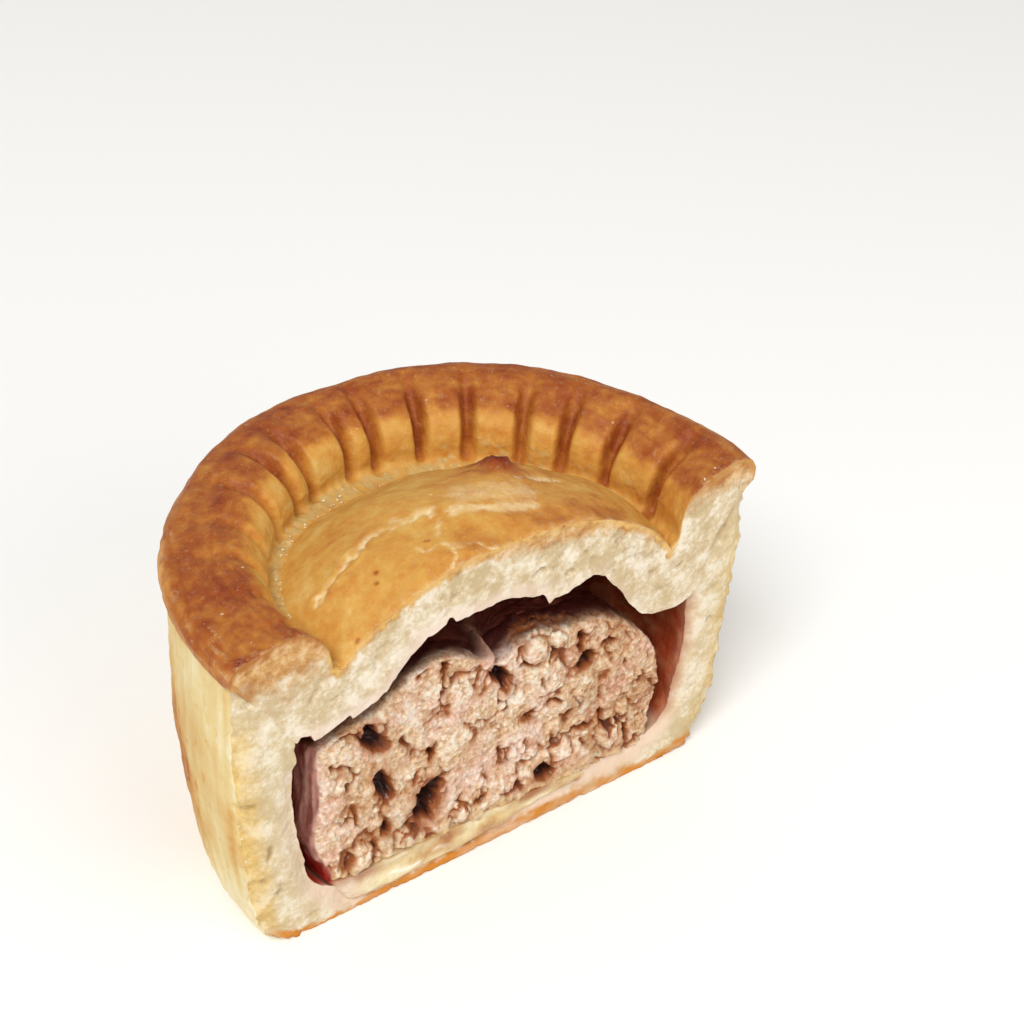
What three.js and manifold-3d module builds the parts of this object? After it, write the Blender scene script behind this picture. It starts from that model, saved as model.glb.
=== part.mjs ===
// A hand-raised pork pie, cut open just in front of its middle. Millimetres, +Z up.
// Pastry case, domed pastry lid with a fluted rim, coarse pork filling and a layer of jelly.
// The pie is shaped round its own upright axis, and the knife's cut is a flat face towards -Y.
import * as THREE from "three";
import { mergeVertices } from "three/addons/utils/BufferGeometryUtils.js";
import Module from "manifold-3d";

const wasm = await Module();
wasm.setup();

// Overall sizes
const rimRadius = 37.5; // outer edge of the rim, 75 mm across
const rimHeight = 46.6; // top of the rim
const rimTilt = 0.5; // the rim is this much higher on the right than on average
const domeHeight = 49.5; // top of the lid's dome
const cutOffset = 6.7; // how far in front of the pie's middle the knife passed
const gap = 0.3; // clearance between pieces that touch

// Pastry case
const caseHeight = 42.5; // the thin top edge of the case, under the rim
const footRadius = 34.8; // wall radius at the base, before its corner is rounded
const wallTopRadius = 36.8;
const wallBulge = 1.2; // how far the wall bellies out half way up
const footCorner = 5; // rounding between base and wall
const floorHeight = 1.6; // thickness of the base on the left
const floorRise = 2.1; // the base is this much thicker on the right
const cavityRadius = 30.6;

// Pastry lid
const domeRadius = 23.3; // foot of the dome
const domeShift = 0.9; // the dome sits this far to the right
const domeOval = 1.6; // it is this much wider along the cut and narrower front to back
const domeShoulder = 0.2; // share of its fall that is a steep shoulder near the cut
const valleyRadius = 25.2; // outer edge of the dip between dome and rim
const valleyHeight = 38.4;
const valleyTilt = 1.5; // the dip is this much lower on the right
const lidUnderside = 40.2; // underside of the dome at the middle
const lidEdgeUnderside = 29.6; // underside of the thick edge of the lid
const lidEdgeTilt = 1.9; // the edge hangs this much lower on the right than on average
const seamFoot = 30.2; // radius where the join of lid and case meets the hollow
const rimSpread = 0.5; // the knife spread the ends of the rim this much
const fluteLean = 0.7; // the flutes lean this much further in on the left than on average
const fluteDepth = 2.1; // depth of the creases between the flutes
const creaseWidth = 2.4; // width of a crease, in degrees round the rim
const firstCrease = -19; // where the first flute begins, in degrees from the right of the pie
const fluteWidths = [20.5, 17, 13.5, 12, 15, 13.5, 13.5, 9, 15.5, 9, 13, 14, 12, 14.5, 13, 14]; // degrees

// Filling and jelly
const fillingRadius = 26.8;
const fillingTop = 29.8;
const fillingFoot = 5.2; // underside of the filling in the middle
const fillingTaper = 0.45; // how steeply its side draws in towards the foot
const fillingFront = 1.9; // the body of the filling stands this far behind the cut face
const lumpSpacing = 4.5; // from one lump of pork to the next
const lumpRows = 8;
const lumpRadius = [1.9, 3.3]; // smallest and largest lumps
const lumpFront = 0.2; // the lumps end this far behind the cut face
const jellyTop = 4.8; // top of the jelly in the middle
const jellySlope = 0.02; // jelly and filling lie this much lower for each mm to the right
const jellyRadius = 19;
const jellyShift = 5; // the jelly set this far to the left, where the base is thin

const smooth = THREE.MathUtils.smoothstep;
const degrees = THREE.MathUtils.radToDeg;

// Slow unevenness of hand-made pastry, between about -1 and 1, by angle round the pie.
function waver(theta, seed) {
  return 0.55 * Math.sin(3 * theta + seed) + 0.45 * Math.sin(5 * theta + 2.3 * seed);
}

// A point on the half-pie, reached from the foot of the axis on the cut face. Rings wider than
// innerRing are true circles round the axis, and narrower ones shrink evenly onto the cut.
const innerRing = 14;
function spot(radius, bearing) {
  const round = Math.max(radius, innerRing);
  const across = cutOffset * Math.cos(bearing);
  const reach = cutOffset * Math.sin(bearing) + Math.sqrt(round * round - across * across);
  const length = (reach * radius) / round;
  return new THREE.Vector2(length * Math.cos(bearing), length * Math.sin(bearing) - cutOffset);
}

// One open ring of a pastry surface, from the right end of the cut round the back to the left.
function halfRing({ columns, radius, height }) {
  const points = [];
  for (let i = 0; i <= columns; i++) {
    const bearing = (Math.PI * i) / Math.max(columns, 1);
    const rough = spot(radius(0), bearing);
    const theta = Math.atan2(rough.y, rough.x);
    const turned = theta < -Math.PI / 2 ? theta + 2 * Math.PI : theta;
    const point = spot(radius(turned), bearing);
    points.push(new THREE.Vector3(point.x, point.y, height(point.length(), turned)));
  }
  return points;
}

// Triangles between two rings whose numbers of columns may differ.
function band(inner, innerColumns, outer, outerColumns) {
  const faces = [];
  let i = 0;
  let j = 0;
  while (i < innerColumns || j < outerColumns) {
    const nextInner = i < innerColumns ? (i + 1) / innerColumns : Infinity;
    const nextOuter = j < outerColumns ? (j + 1) / outerColumns : Infinity;
    if (nextOuter <= nextInner) {
      faces.push(inner + i, outer + j, outer + j + 1);
      j++;
    } else {
      faces.push(inner + i, outer + j, inner + i + 1);
      i++;
    }
  }
  return faces;
}

// A closed solid from its rings, the first and last of which are single points on the cut.
function ringSolid(stations) {
  const rings = stations.map(halfRing);
  const positions = [];
  const faces = [];
  const first = rings.map((ring) => {
    const start = positions.length / 3;
    ring.forEach((point) => positions.push(point.x, point.y, point.z));
    return start;
  });
  for (let k = 0; k + 1 < rings.length; k++) {
    faces.push(...band(first[k], rings[k].length - 1, first[k + 1], rings[k + 1].length - 1));
  }
  const last = rings.map((ring, k) => first[k] + ring.length - 1);
  const border = [...first, ...last.slice(1, -1).reverse()];
  const outline = border.map((v) => new THREE.Vector2(positions[3 * v], positions[3 * v + 2]));
  for (const [a, b, c] of THREE.ShapeUtils.triangulateShape(outline, [])) {
    const turnsLeft = THREE.ShapeUtils.area([outline[a], outline[b], outline[c]]) > 0;
    faces.push(border[a], border[turnsLeft ? b : c], border[turnsLeft ? c : b]);
  }
  const geometry = new THREE.BufferGeometry();
  geometry.setAttribute("position", new THREE.Float32BufferAttribute(positions, 3));
  geometry.setIndex(faces);
  return geometry;
}

const station = (columns, radius, height) => ({
  columns,
  radius: typeof radius === "number" ? () => radius : radius,
  height: typeof height === "number" ? () => height : height,
});

// How far the knife spread the pastry, most at the two ends of the cut.
function spread(theta) {
  return rimSpread * smooth(-Math.sin(theta), -0.25, 0.18);
}

// Outer face of the case: a belly between foot and top, on a rounded corner.
function wallRadius(height, theta) {
  const share = height / caseHeight;
  const belly = wallBulge * Math.sin(Math.PI * share);
  const drop = Math.max(0, footCorner - height) / footCorner;
  const corner = footCorner * (1 - Math.sqrt(1 - drop * drop));
  const uneven = 0.3 * waver(theta + share, 1.7) * Math.sin(Math.PI * share);
  const top = wallTopRadius + spread(theta);
  return footRadius + (top - footRadius) * share + belly - corner + uneven;
}

// Underside of the thick edge of the lid, which hangs lower on the right.
function edgeUnderside(theta) {
  return lidEdgeUnderside - lidEdgeTilt * Math.cos(theta) + 0.4 * waver(theta, 0.6) * Math.sin(theta);
}

// The join of lid and case, from the hollow (share 0) to under the rim (share 1).
function seam(share, theta, towardsLid) {
  const foot = edgeUnderside(theta);
  const top = wallTopRadius + spread(theta) - 0.3;
  return {
    radius: seamFoot + (top - seamFoot) * share - 0.9 * towardsLid,
    height: foot + (caseHeight - foot) * Math.pow(share, 0.85) + 0.45 * towardsLid,
  };
}

function floorAt(radius, theta) {
  return floorHeight + floorRise * smooth(radius * Math.cos(theta), -6, 10);
}

function makeCase() {
  const columns = 42;
  const seamShares = [0, 0.3, 0.65, 1];
  const wallHeights = [caseHeight, 40, 35.5, 30, 24, 18, 12, 7.5, 4.6, 2.6, 1.2, 0.4, 0];
  const cavity = [
    [25.2, 4.8],
    [27.4, 6.4],
    [28.7, 8.9],
    [29.7, 13.5],
    [cavityRadius, 19],
    [cavityRadius - 0.2, 24],
  ];
  return ringSolid([
    station(0, 0, floorAt),
    station(14, 7, floorAt),
    station(24, 15, floorAt),
    station(columns, 22.6, floorAt),
    ...cavity.map(([radius, height]) =>
      station(columns, (theta) => radius + 0.3 * waver(theta, height), height)
    ),
    ...seamShares.map((share) =>
      station(
        columns,
        (theta) => seam(share, theta, 0).radius,
        (radius, theta) => seam(share, theta, 0).height
      )
    ),
    ...wallHeights.map((height) => station(columns, (theta) => wallRadius(height, theta), height)),
    station(18, 15, 0),
    station(0, 0, 0),
  ]);
}

// How deep a crease is at an angle round the rim: 1 in its middle, 0 on the flute beside it.
// Round the left of the rim the creases are pressed in less and less.
function crease(theta) {
  let angle = firstCrease;
  let nearest = Infinity;
  for (const width of fluteWidths) {
    nearest = Math.min(nearest, Math.abs(degrees(theta) - angle));
    angle += width;
  }
  const fade = 1 - 0.75 * smooth(degrees(theta), 118, 150);
  return fade * Math.exp(-Math.pow(nearest / creaseWidth, 2));
}

function domeFoot(theta) {
  return domeRadius + domeShift * Math.cos(theta) + domeOval * Math.cos(2 * theta);
}

function valleyAt(theta) {
  return valleyHeight - valleyTilt * Math.cos(theta);
}

// Top of the dome, with the low lumps of pastry baked over coarse meat.
function domeAt(radius, theta) {
  const across = radius / domeFoot(theta);
  const steep = domeShoulder * (1 - Math.sin(theta));
  const lumpHeight = 0.3;
  const x = radius * Math.cos(theta);
  const y = radius * Math.sin(theta);
  const lumps = lumpHeight * Math.sin(0.33 * x + 1) * Math.sin(0.41 * y + 0.4);
  const top = domeHeight - lumpHeight;
  const fall = (1 - steep) * across ** 2 + steep * across ** 12;
  return top - (top - valleyAt(theta)) * fall + lumps;
}

// Underside of the dome: higher on the left, with a rag of dough hanging right of the middle.
function domeUnderAt(radius, theta) {
  const x = radius * Math.cos(theta);
  const y = radius * Math.sin(theta);
  const fromCut = y + cutOffset;
  const rag = 2.4 * Math.exp(-Math.pow((x - 6.5) / 3.2, 2) - Math.pow(fromCut / 5, 2));
  return lidUnderside - 0.9 * smooth(x, 0, 12) - rag - Math.pow(radius / 16, 4) * 1.6;
}

function makeLid() {
  const fluted = 110;
  const plain = 42;
  // The rim from the valley, up its inner slope and over: radius, height, share of crease depth,
  // and how much lower it is on the right than on average
  const collar = [
    [valleyRadius + 1, 39.2, 0.5, 1.2],
    [26.5, 41.2, 1, 0.8],
    [27.2, 43.4, 1, 0.6],
    [28.8, 45.3, 0.85, 0.9],
    [31.4, 46.3, 0.45, 0.4],
    [34.4, rimHeight, 0.12, -rimTilt],
  ];
  const lean = (radius) => fluteLean * (1 - smooth(radius, 27, 35));
  const leftness = (theta) => smooth(-Math.cos(theta), -0.3, 0.95);
  const edge = [
    [36.3, 46.2],
    [37.3, 45.1],
    [rimRadius, 44],
    [37.3, 43.1],
  ];
  const seamShares = [1, 0.7, 0.35, 0.06];
  // From the join to the hollow: radius, height over the edge, and how much further in on the left
  const underside = [
    [28.6, -0.3, 0],
    [25.8, -0.3, 0],
    [23, 0.3, 0.4],
    [20.9, 2.2, 1.9],
    [19.2, 4.9, 2.4],
    [17.6, 7, 2.8],
  ];
  return ringSolid([
    station(0, 0, domeAt),
    station(14, 6, domeAt),
    station(24, 11, domeAt),
    station(plain, 16, domeAt),
    station(plain, (theta) => 0.87 * domeFoot(theta), domeAt),
    station(plain, (theta) => 0.955 * domeFoot(theta), domeAt),
    station(fluted, domeFoot, (_, theta) => valleyAt(theta)),
    station(
      fluted,
      (theta) => valleyRadius + 0.6 * Math.cos(theta),
      (_, theta) => valleyAt(theta) + 0.1
    ),
    ...collar.map(([radius, height, share, lower]) =>
      station(
        fluted,
        (theta) =>
          radius +
          lean(radius) * Math.cos(theta) +
          0.75 * share * fluteDepth * crease(theta) +
          0.25 * waver(theta, 2.9),
        (_, theta) =>
          height -
          lower * Math.cos(theta) -
          0.65 * share * fluteDepth * crease(theta) +
          0.3 * waver(theta, 4.1)
      )
    ),
    ...edge.map(([radius, height]) =>
      station(
        plain,
        (theta) => radius - 0.2 * Math.sin(6 * theta) + spread(theta),
        (_, theta) => {
          const uneven = rimTilt * Math.cos(theta) + 0.3 * waver(theta, 4.1);
          return height + uneven * smooth(height, 43, 46);
        }
      )
    ),
    ...seamShares.map((share) =>
      station(
        plain,
        (theta) => seam(share, theta, gap).radius,
        (_, theta) => Math.min(seam(share, theta, gap).height, caseHeight + gap)
      )
    ),
    ...underside.map(([radius, rise, reach]) =>
      station(
        plain,
        (theta) => radius - reach * leftness(theta) + 0.4 * waver(theta, 5.2),
        (_, theta) => edgeUnderside(theta) + rise
      )
    ),
    station(30, (theta) => 14.6 - 1.6 * leftness(theta), domeUnderAt),
    station(22, 9, domeUnderAt),
    station(14, 4.5, domeUnderAt),
    station(0, 0, domeUnderAt),
  ]);
}

// Turns a closed three.js geometry into a solid that can be cut, and back.
function toSolid(geometry) {
  const plain = geometry.clone();
  plain.deleteAttribute("normal");
  plain.deleteAttribute("uv");
  const merged = mergeVertices(plain, 1e-4);
  return new wasm.Manifold(
    new wasm.Mesh({
      numProp: 3,
      vertProperties: merged.attributes.position.array,
      triVerts: new Uint32Array(merged.index.array),
    })
  );
}

function toGeometry(solid) {
  const mesh = solid.getMesh();
  const geometry = new THREE.BufferGeometry();
  geometry.setAttribute("position", new THREE.Float32BufferAttribute(mesh.vertProperties, 3));
  geometry.setIndex(Array.from(mesh.triVerts));
  return geometry;
}

// A shallow split in the baked crust, following the dome between two ends.
function makeSplit(route, width, depth) {
  const points = route.map(([x, y]) => {
    const theta = Math.atan2(y, x);
    return new THREE.Vector3(x, y, domeAt(Math.hypot(x, y), theta));
  });
  const curve = new THREE.CatmullRomCurve3(points);
  const wedge = new THREE.Shape();
  wedge.moveTo(-depth, 0);
  wedge.lineTo(depth, -width);
  wedge.lineTo(depth, width);
  return new THREE.ExtrudeGeometry(wedge, { steps: 14, bevelEnabled: false, extrudePath: curve });
}

// Top of the filling: a shoulder left of the middle, a dip, and a slope down to the right.
function fillingTopAt(x, y) {
  const nearCut = Math.exp(-(y + cutOffset) / 14);
  const shoulder = 4.6 * Math.exp(-Math.pow((x + 9.5) / 7, 2));
  const dip = 1.6 * Math.exp(-Math.pow((x + 0.8) / 2.6, 2));
  const crumb = 1.6 * Math.exp(-Math.pow((x - 5.5) / 4, 2));
  const slope = 0.096 * Math.pow(Math.max(0, x - 13), 1.8);
  const round = 0.16 * Math.pow(Math.max(0, Math.hypot(x, y) - 20), 2);
  return fillingTop - slope + nearCut * (shoulder - dip + crumb) - (1 - nearCut) * round;
}

// How far outside the filling's rounded mould a point lies, in mm: negative inside.
function outsideMould(point) {
  const drawnIn = fillingTaper * Math.max(0, 11 - point.z);
  const girth = fillingRadius - drawnIn + 0.5 * waver(point.z / 9, 3);
  const side = Math.hypot(point.x, point.y) - girth;
  const front = -point.y - cutOffset + fillingFront;
  const top = point.z - fillingTopAt(point.x, point.y);
  const foot = fillingFoot - jellySlope * point.x - point.z;
  const rounding = 1.1;
  const sum = [side, front, top].reduce((total, d) => total + Math.exp(d / rounding), 0);
  return Math.max(rounding * Math.log(sum), foot);
}

// The body of the filling grows from a block as wide, deep and tall as itself, for even faces.
function makeFillingCore() {
  const heart = new THREE.Vector3(0, 5, 17.5); // well inside, so that every side can be seen from it
  const front = heart.y + cutOffset - fillingFront;
  const depth = front + fillingRadius - heart.y;
  const tall = fillingTop - fillingFoot;
  const geometry = new THREE.BoxGeometry(2 * fillingRadius, depth, tall, 20, 10, 9);
  geometry.translate(0, depth / 2 - front, 0);
  const place = geometry.attributes.position;
  const halvings = 30;
  for (let i = 0; i < place.count; i++) {
    const heading = new THREE.Vector3().fromBufferAttribute(place, i).normalize();
    let near = 0;
    let far = 2 * rimRadius;
    for (let step = 0; step < halvings; step++) {
      const middle = (near + far) / 2;
      const inside = outsideMould(heart.clone().addScaledVector(heading, middle)) < 0;
      near = inside ? middle : near;
      far = inside ? far : middle;
    }
    const point = heart.clone().addScaledVector(heading, near);
    place.setXYZ(i, point.x, point.y, point.z);
  }
  return geometry;
}

// Repeatable scatter: the same uneven numbers each time.
function makeScatter(seed) {
  let state = seed;
  return (low, high) => {
    state = (state * 16807) % 2147483647;
    return low + ((high - low) * state) / 2147483647;
  };
}

// One lump of pork, with knobbly sides.
function makeLump(size, squash, seed) {
  const lump = new THREE.IcosahedronGeometry(size, 1);
  const place = lump.attributes.position;
  for (let i = 0; i < place.count; i++) {
    const corner = new THREE.Vector3().fromBufferAttribute(place, i);
    const knob = Math.sin((2.4 * corner.x) / size + seed) * Math.sin((2.4 * corner.y) / size - seed);
    corner.multiplyScalar(1 + 0.16 * knob);
    place.setXYZ(i, 1.08 * corner.x, 0.94 * corner.y, squash * corner.z);
  }
  return lump;
}

// The knife left no lump standing past the cut.
function trimFront(lump) {
  const place = lump.attributes.position;
  for (let i = 0; i < place.count; i++) {
    place.setY(i, Math.max(place.getY(i), lumpFront - cutOffset));
  }
}

// Coarse-cut lumps of pork, set half into the cut side of the filling in uneven rows.
function makeLumps() {
  const scatter = makeScatter(11);
  const lumps = [];
  const lowest = fillingFoot + 2.5;
  for (let row = 0; row < lumpRows; row++) {
    const shift = (row % 2) * 0.5 * lumpSpacing;
    for (let x = shift - fillingRadius; x < fillingRadius; x += lumpSpacing) {
      const size = scatter(...lumpRadius);
      const squash = scatter(0.7, 1);
      const sunk = Math.max(fillingFront, lumpFront + size + scatter(0, 0.8)); // behind the cut face
      const centre = new THREE.Vector3(
        x + scatter(-0.9, 0.9),
        sunk - cutOffset,
        lowest + row * 0.85 * lumpSpacing + scatter(0, 0.9)
      );
      const turn = new THREE.Euler(scatter(0, 3), scatter(0, 3), scatter(0, 3));
      const back = centre.clone().setY(centre.y + 2 * size);
      if (outsideMould(back) > -0.8 * size) continue;
      const lump = makeLump(size, squash, scatter(0, 6));
      lump.applyMatrix4(new THREE.Matrix4().makeRotationFromEuler(turn));
      lump.translate(centre.x, centre.y, centre.z);
      trimFront(lump);
      lumps.push(lump);
    }
  }
  return lumps;
}

function makeJelly() {
  const columns = 40;
  const shore = (theta) => jellyRadius - jellyShift * Math.cos(theta) + 0.2 * waver(theta, 2.2);
  const within = (share) => (theta) => share * shore(theta);
  const underAt = (radius, theta) => floorAt(radius, theta) + gap;
  const topAt = (radius, theta) => jellyTop - jellySlope * radius * Math.cos(theta);
  return ringSolid([
    station(0, 0, topAt),
    station(20, 11, topAt),
    station(columns, within(0.87), topAt),
    station(columns, shore, (radius, theta) => topAt(radius, theta) - 0.2),
    station(columns, within(0.99), (radius, theta) => topAt(radius, theta) - 0.5),
    station(columns, within(0.93), underAt),
    station(24, within(0.75), underAt),
    station(24, 9, underAt),
    station(14, 4, underAt),
    station(0, 0, underAt),
  ]);
}

function material(color, roughness) {
  return new THREE.MeshStandardMaterial({ color, roughness, metalness: 0 });
}

function piece(name, geometry, finish) {
  geometry.computeVertexNormals();
  const mesh = new THREE.Mesh(geometry, finish);
  mesh.name = name;
  return mesh;
}

// The splits in the lid, where rising dough opened the glaze: routes seen from above
const splits = [
  makeSplit([[-19.5, 2.1], [-14.9, 3.5], [-12.6, 4.3], [-9.5, 3], [-4.8, 2.4]], 0.5, 0.45),
  makeSplit([[6.7, 2.9], [10.3, 3.1], [13.3, 2.6]], 0.45, 0.4),
];
let lid = toSolid(makeLid());
for (const split of splits) lid = lid.subtract(toSolid(split));

let filling = toSolid(makeFillingCore());
for (const lump of makeLumps()) filling = filling.add(toSolid(lump));

const pie = new THREE.Group();
pie.add(
  piece("pastry_case", makeCase(), material("#e6d3a3", 0.75)),
  piece("pastry_lid", toGeometry(lid), material("#cf8c3c", 0.4)),
  piece("pork_filling", toGeometry(filling), material("#c79a80", 0.5)),
  piece("jelly", makeJelly(), material("#d9b57c", 0.15))
);
pie.position.y = (cutOffset - rimRadius) / 2; // the origin is the middle of the footprint

export default pie;
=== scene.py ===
import math
import random
from functools import partial

import bmesh
import bpy
import numpy as np
from mathutils import Matrix, Vector, noise


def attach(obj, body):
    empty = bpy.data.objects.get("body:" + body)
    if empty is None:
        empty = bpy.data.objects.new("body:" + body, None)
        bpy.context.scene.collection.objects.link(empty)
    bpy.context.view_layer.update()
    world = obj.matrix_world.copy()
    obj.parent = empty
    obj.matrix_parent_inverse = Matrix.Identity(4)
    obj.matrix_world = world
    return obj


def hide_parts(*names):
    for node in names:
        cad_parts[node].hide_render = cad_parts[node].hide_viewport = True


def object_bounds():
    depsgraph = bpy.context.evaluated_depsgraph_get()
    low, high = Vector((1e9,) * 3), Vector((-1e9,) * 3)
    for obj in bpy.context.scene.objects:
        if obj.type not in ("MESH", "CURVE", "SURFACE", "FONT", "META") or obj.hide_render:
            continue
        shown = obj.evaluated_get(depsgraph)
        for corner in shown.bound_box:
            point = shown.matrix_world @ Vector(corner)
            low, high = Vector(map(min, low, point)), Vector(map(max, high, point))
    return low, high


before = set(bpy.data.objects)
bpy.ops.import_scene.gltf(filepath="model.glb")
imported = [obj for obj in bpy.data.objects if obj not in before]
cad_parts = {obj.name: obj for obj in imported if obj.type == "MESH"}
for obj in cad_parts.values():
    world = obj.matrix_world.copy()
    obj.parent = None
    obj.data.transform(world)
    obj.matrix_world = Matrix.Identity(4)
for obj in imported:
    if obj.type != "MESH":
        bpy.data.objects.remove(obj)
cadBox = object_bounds()

# sizes that several pieces share, mm, the same as the solids'
pie = {
    "rimRadius": 37.5,
    "rimHeight": 46.6,
    "rimTilt": 0.5,  # the rim is this much higher on the right than on average
    "rimSpread": 0.5,  # the knife spread the two ends of the rim
    "domeHeight": 49.5,
    "domeRadius": 23.3,
    "domeShift": 0.9,
    "domeOval": 1.6,
    "domeShoulder": 0.2,
    "cutOffset": 6.7,  # the knife passed this far in front of the axis
    "caseHeight": 42.5,
    "footRadius": 34.8,
    "wallTopRadius": 36.8,
    "wallBulge": 1.2,
    "footCorner": 5.0,
    "floorHeight": 1.6,
    "floorRise": 2.1,  # the base is this much thicker on the right
    "cavityRadius": 30.6,
    "valleyRadius": 25.2,
    "valleyHeight": 38.4,
    "valleyTilt": 1.5,
    "lidUnderside": 40.2,
    "lidEdgeUnderside": 29.6,
    "lidEdgeTilt": 1.9,
    "seamFoot": 30.2,
    "fillingRadius": 26.8,
    "fillingTop": 29.8,
    "fillingFoot": 5.2,
    "fillingTaper": 0.45,
    "jellyTop": 4.8,
    "jellySlope": 0.02,
    "jellyRadius": 19.0,
    "jellyShift": 5.0,
}
cutY = -pie["cutOffset"]
shiftY = (pie["cutOffset"] - pie["rimRadius"]) / 2  # pie axis to the middle of the footprint
innerRing = 14.0  # rings wider than this are true circles
leastColumns = 6
leastGap = 0.2  # mm between columns, below which every second one is left out
boxMargin = 0.01  # mm
farAway = 60.0  # mm, past every side of the pie
halvings = 24  # of that distance, in search of a surface
roughSteps = 600  # with which an outline is measured


def smooth(value, low, high):
    t = np.clip((value - low) / (high - low), 0, 1)
    return t * t * (3 - 2 * t)


def fall(value, low, high):
    return 1 - smooth(value, low, high)


def bell(value, middle, width):
    return np.exp(-(((value - middle) / width) ** 2))


def waver(theta, seed):
    # slow unevenness of hand-raised pastry
    return 0.55 * np.sin(3 * theta + seed) + 0.45 * np.sin(5 * theta + 2.3 * seed)


def grain(places, size, seed, stretch=(1, 1, 1)):
    # smooth noise with lumps of about this size in mm, roughly -1 to 1
    scaled = places / (np.array(stretch) * size) + seed * 7.31
    return np.array([1.5 * noise.noise(p) for p in scaled.tolist()])


def warped(places, size, amount, seed):
    # the places pushed about, so that what is drawn on them turns out uneven
    shifts = [grain(places, size, seed + 0.37 * axis) for axis in range(3)]
    return places + amount * np.stack(shifts, axis=1)


def chopped(places, size, seed, groove):
    # pieces packed side by side: 0 on their borders to 1 past the groove, and each one's own number
    scaled = places / size + seed * 3.77
    proud, own = [], []
    for p in scaled.tolist():
        (near, second, *_), (centre, *_) = noise.voronoi(p)
        proud.append(second - near)
        own.append(math.sin(12.9 * centre[0] + 78.2 * centre[1] + 37.7 * centre[2]) * 437.58 % 1)
    return smooth(np.array(proud), 0, groove), np.array(own)


def nearRoute(places, route):
    # distance in mm from each place to an upright sheet that stands on the route
    x, y = places[:, 0], places[:, 1]
    best = np.full(len(places), np.inf)
    for (ax, ay), (bx, by) in zip(route, route[1:]):
        dx, dy = bx - ax, by - ay
        along = np.clip(((x - ax) * dx + (y - ay) * dy) / (dx * dx + dy * dy), 0, 1)
        best = np.minimum(best, np.hypot(x - ax - along * dx, y - ay - along * dy))
    return best


def nearSpots(places, spots, reach=1.3):
    # how deep each place lies in the deepest of some oval spots on the cut, which may lean to the left
    deepest = np.zeros(len(places))
    for middle, height, wide, tall, depth, *lean in spots:
        above = places[:, 2] - height
        aside = places[:, 0] - middle + above * (lean[0] if lean else 0)
        away = np.hypot(aside / wide, above / tall)
        deepest = np.maximum(deepest, depth * fall(away, 0.7, reach))
    return deepest


def ringSpots(radius, bearing):
    # a point on the half-pie, reached from the foot of the axis on the cut face
    rounded = np.maximum(radius, innerRing)
    across = pie["cutOffset"] * np.cos(bearing)
    reach = pie["cutOffset"] * np.sin(bearing) + np.sqrt(rounded**2 - across**2)
    length = reach * radius / rounded
    return length * np.cos(bearing), length * np.sin(bearing) + cutY


def turnAngle(x, y):
    theta = np.arctan2(y, x)
    return np.where(theta < -math.pi / 2, theta + 2 * math.pi, theta)


def unrolled(places, girth):
    # mm round the pie at this radius, mm from its axis, and height
    x, y, z = places.T
    return np.stack([turnAngle(x, y) * girth, np.hypot(x, y), z], axis=1)


def throughPoints(values, at, want):
    # smooth curve through rows of values, placed along the first axis by "at"
    at = np.asarray(at, float)
    rows = []
    for t in want:
        k = int(np.clip(np.searchsorted(at, t, side="right") - 1, 0, len(at) - 2))
        step = at[k + 1] - at[k]
        s = (t - at[k]) / step
        last, following = max(k - 1, 0), min(k + 2, len(at) - 1)
        leave = (values[k + 1] - values[last]) / (at[k + 1] - at[last]) * step
        arrive = (values[following] - values[k]) / (at[following] - at[k]) * step
        row = (2 * s**3 - 3 * s**2 + 1) * values[k] + (s**3 - 2 * s**2 + s) * leave
        rows.append(row + (3 * s**2 - 2 * s**3) * values[k + 1] + (s**3 - s**2) * arrive)
    return np.array(rows)


def surfaceRings(controls, at, columns):
    # controls: rows of (pairing, radius, height) where radius and height may be functions
    bearing = np.linspace(0, math.pi, columns + 1)
    flat = np.zeros(columns + 1)
    table = []
    for _, radius, height in controls:
        start = radius(flat) if callable(radius) else radius + flat
        theta = turnAngle(*ringSpots(start, bearing))
        wide = radius(theta) if callable(radius) else radius + flat
        x, y = ringSpots(wide, bearing)
        tall = height(np.hypot(x, y), theta) if callable(height) else height + flat
        table.append(np.stack([wide, tall], axis=-1))
    fine = throughPoints(np.array(table), [row[0] for row in controls], at)
    x, y = ringSpots(fine[..., 0], bearing[None, :])
    return np.stack([x, y, fine[..., 1]], axis=-1)


def evenSteps(controls, spacing):
    # pairing values that space the rings evenly along the outline at the right of the cut
    rough = np.linspace(0, 1, roughSteps)
    line = surfaceRings(controls, rough, 2)[:, 0]
    length = np.concatenate([[0], np.cumsum(np.linalg.norm(np.diff(line, axis=0), axis=1))])
    count = max(4, int(round(length[-1] / spacing)))
    return np.interp(np.linspace(0, length[-1], count + 1), length, rough)


def stitch(first, second):
    # faces between two rows of vertices whose counts may differ
    a, b = len(first) - 1, len(second) - 1
    if a == b:
        return [(first[i], second[i], second[i + 1], first[i + 1]) for i in range(a)]
    faces = []
    i = j = 0
    while i < a or j < b:
        if i >= a or (j < b and (j + 1) / b <= (i + 1) / a):
            faces.append((first[i], second[j], second[j + 1]))
            j += 1
        else:
            faces.append((first[i], second[j], first[i + 1]))
            i += 1
    return faces


def ringColumns(radius, most):
    # the middle of a surface needs few columns
    wanted = most
    while wanted > leastColumns and radius < innerRing and math.pi * radius / wanted < leastGap:
        wanted //= 2
    return wanted


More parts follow.
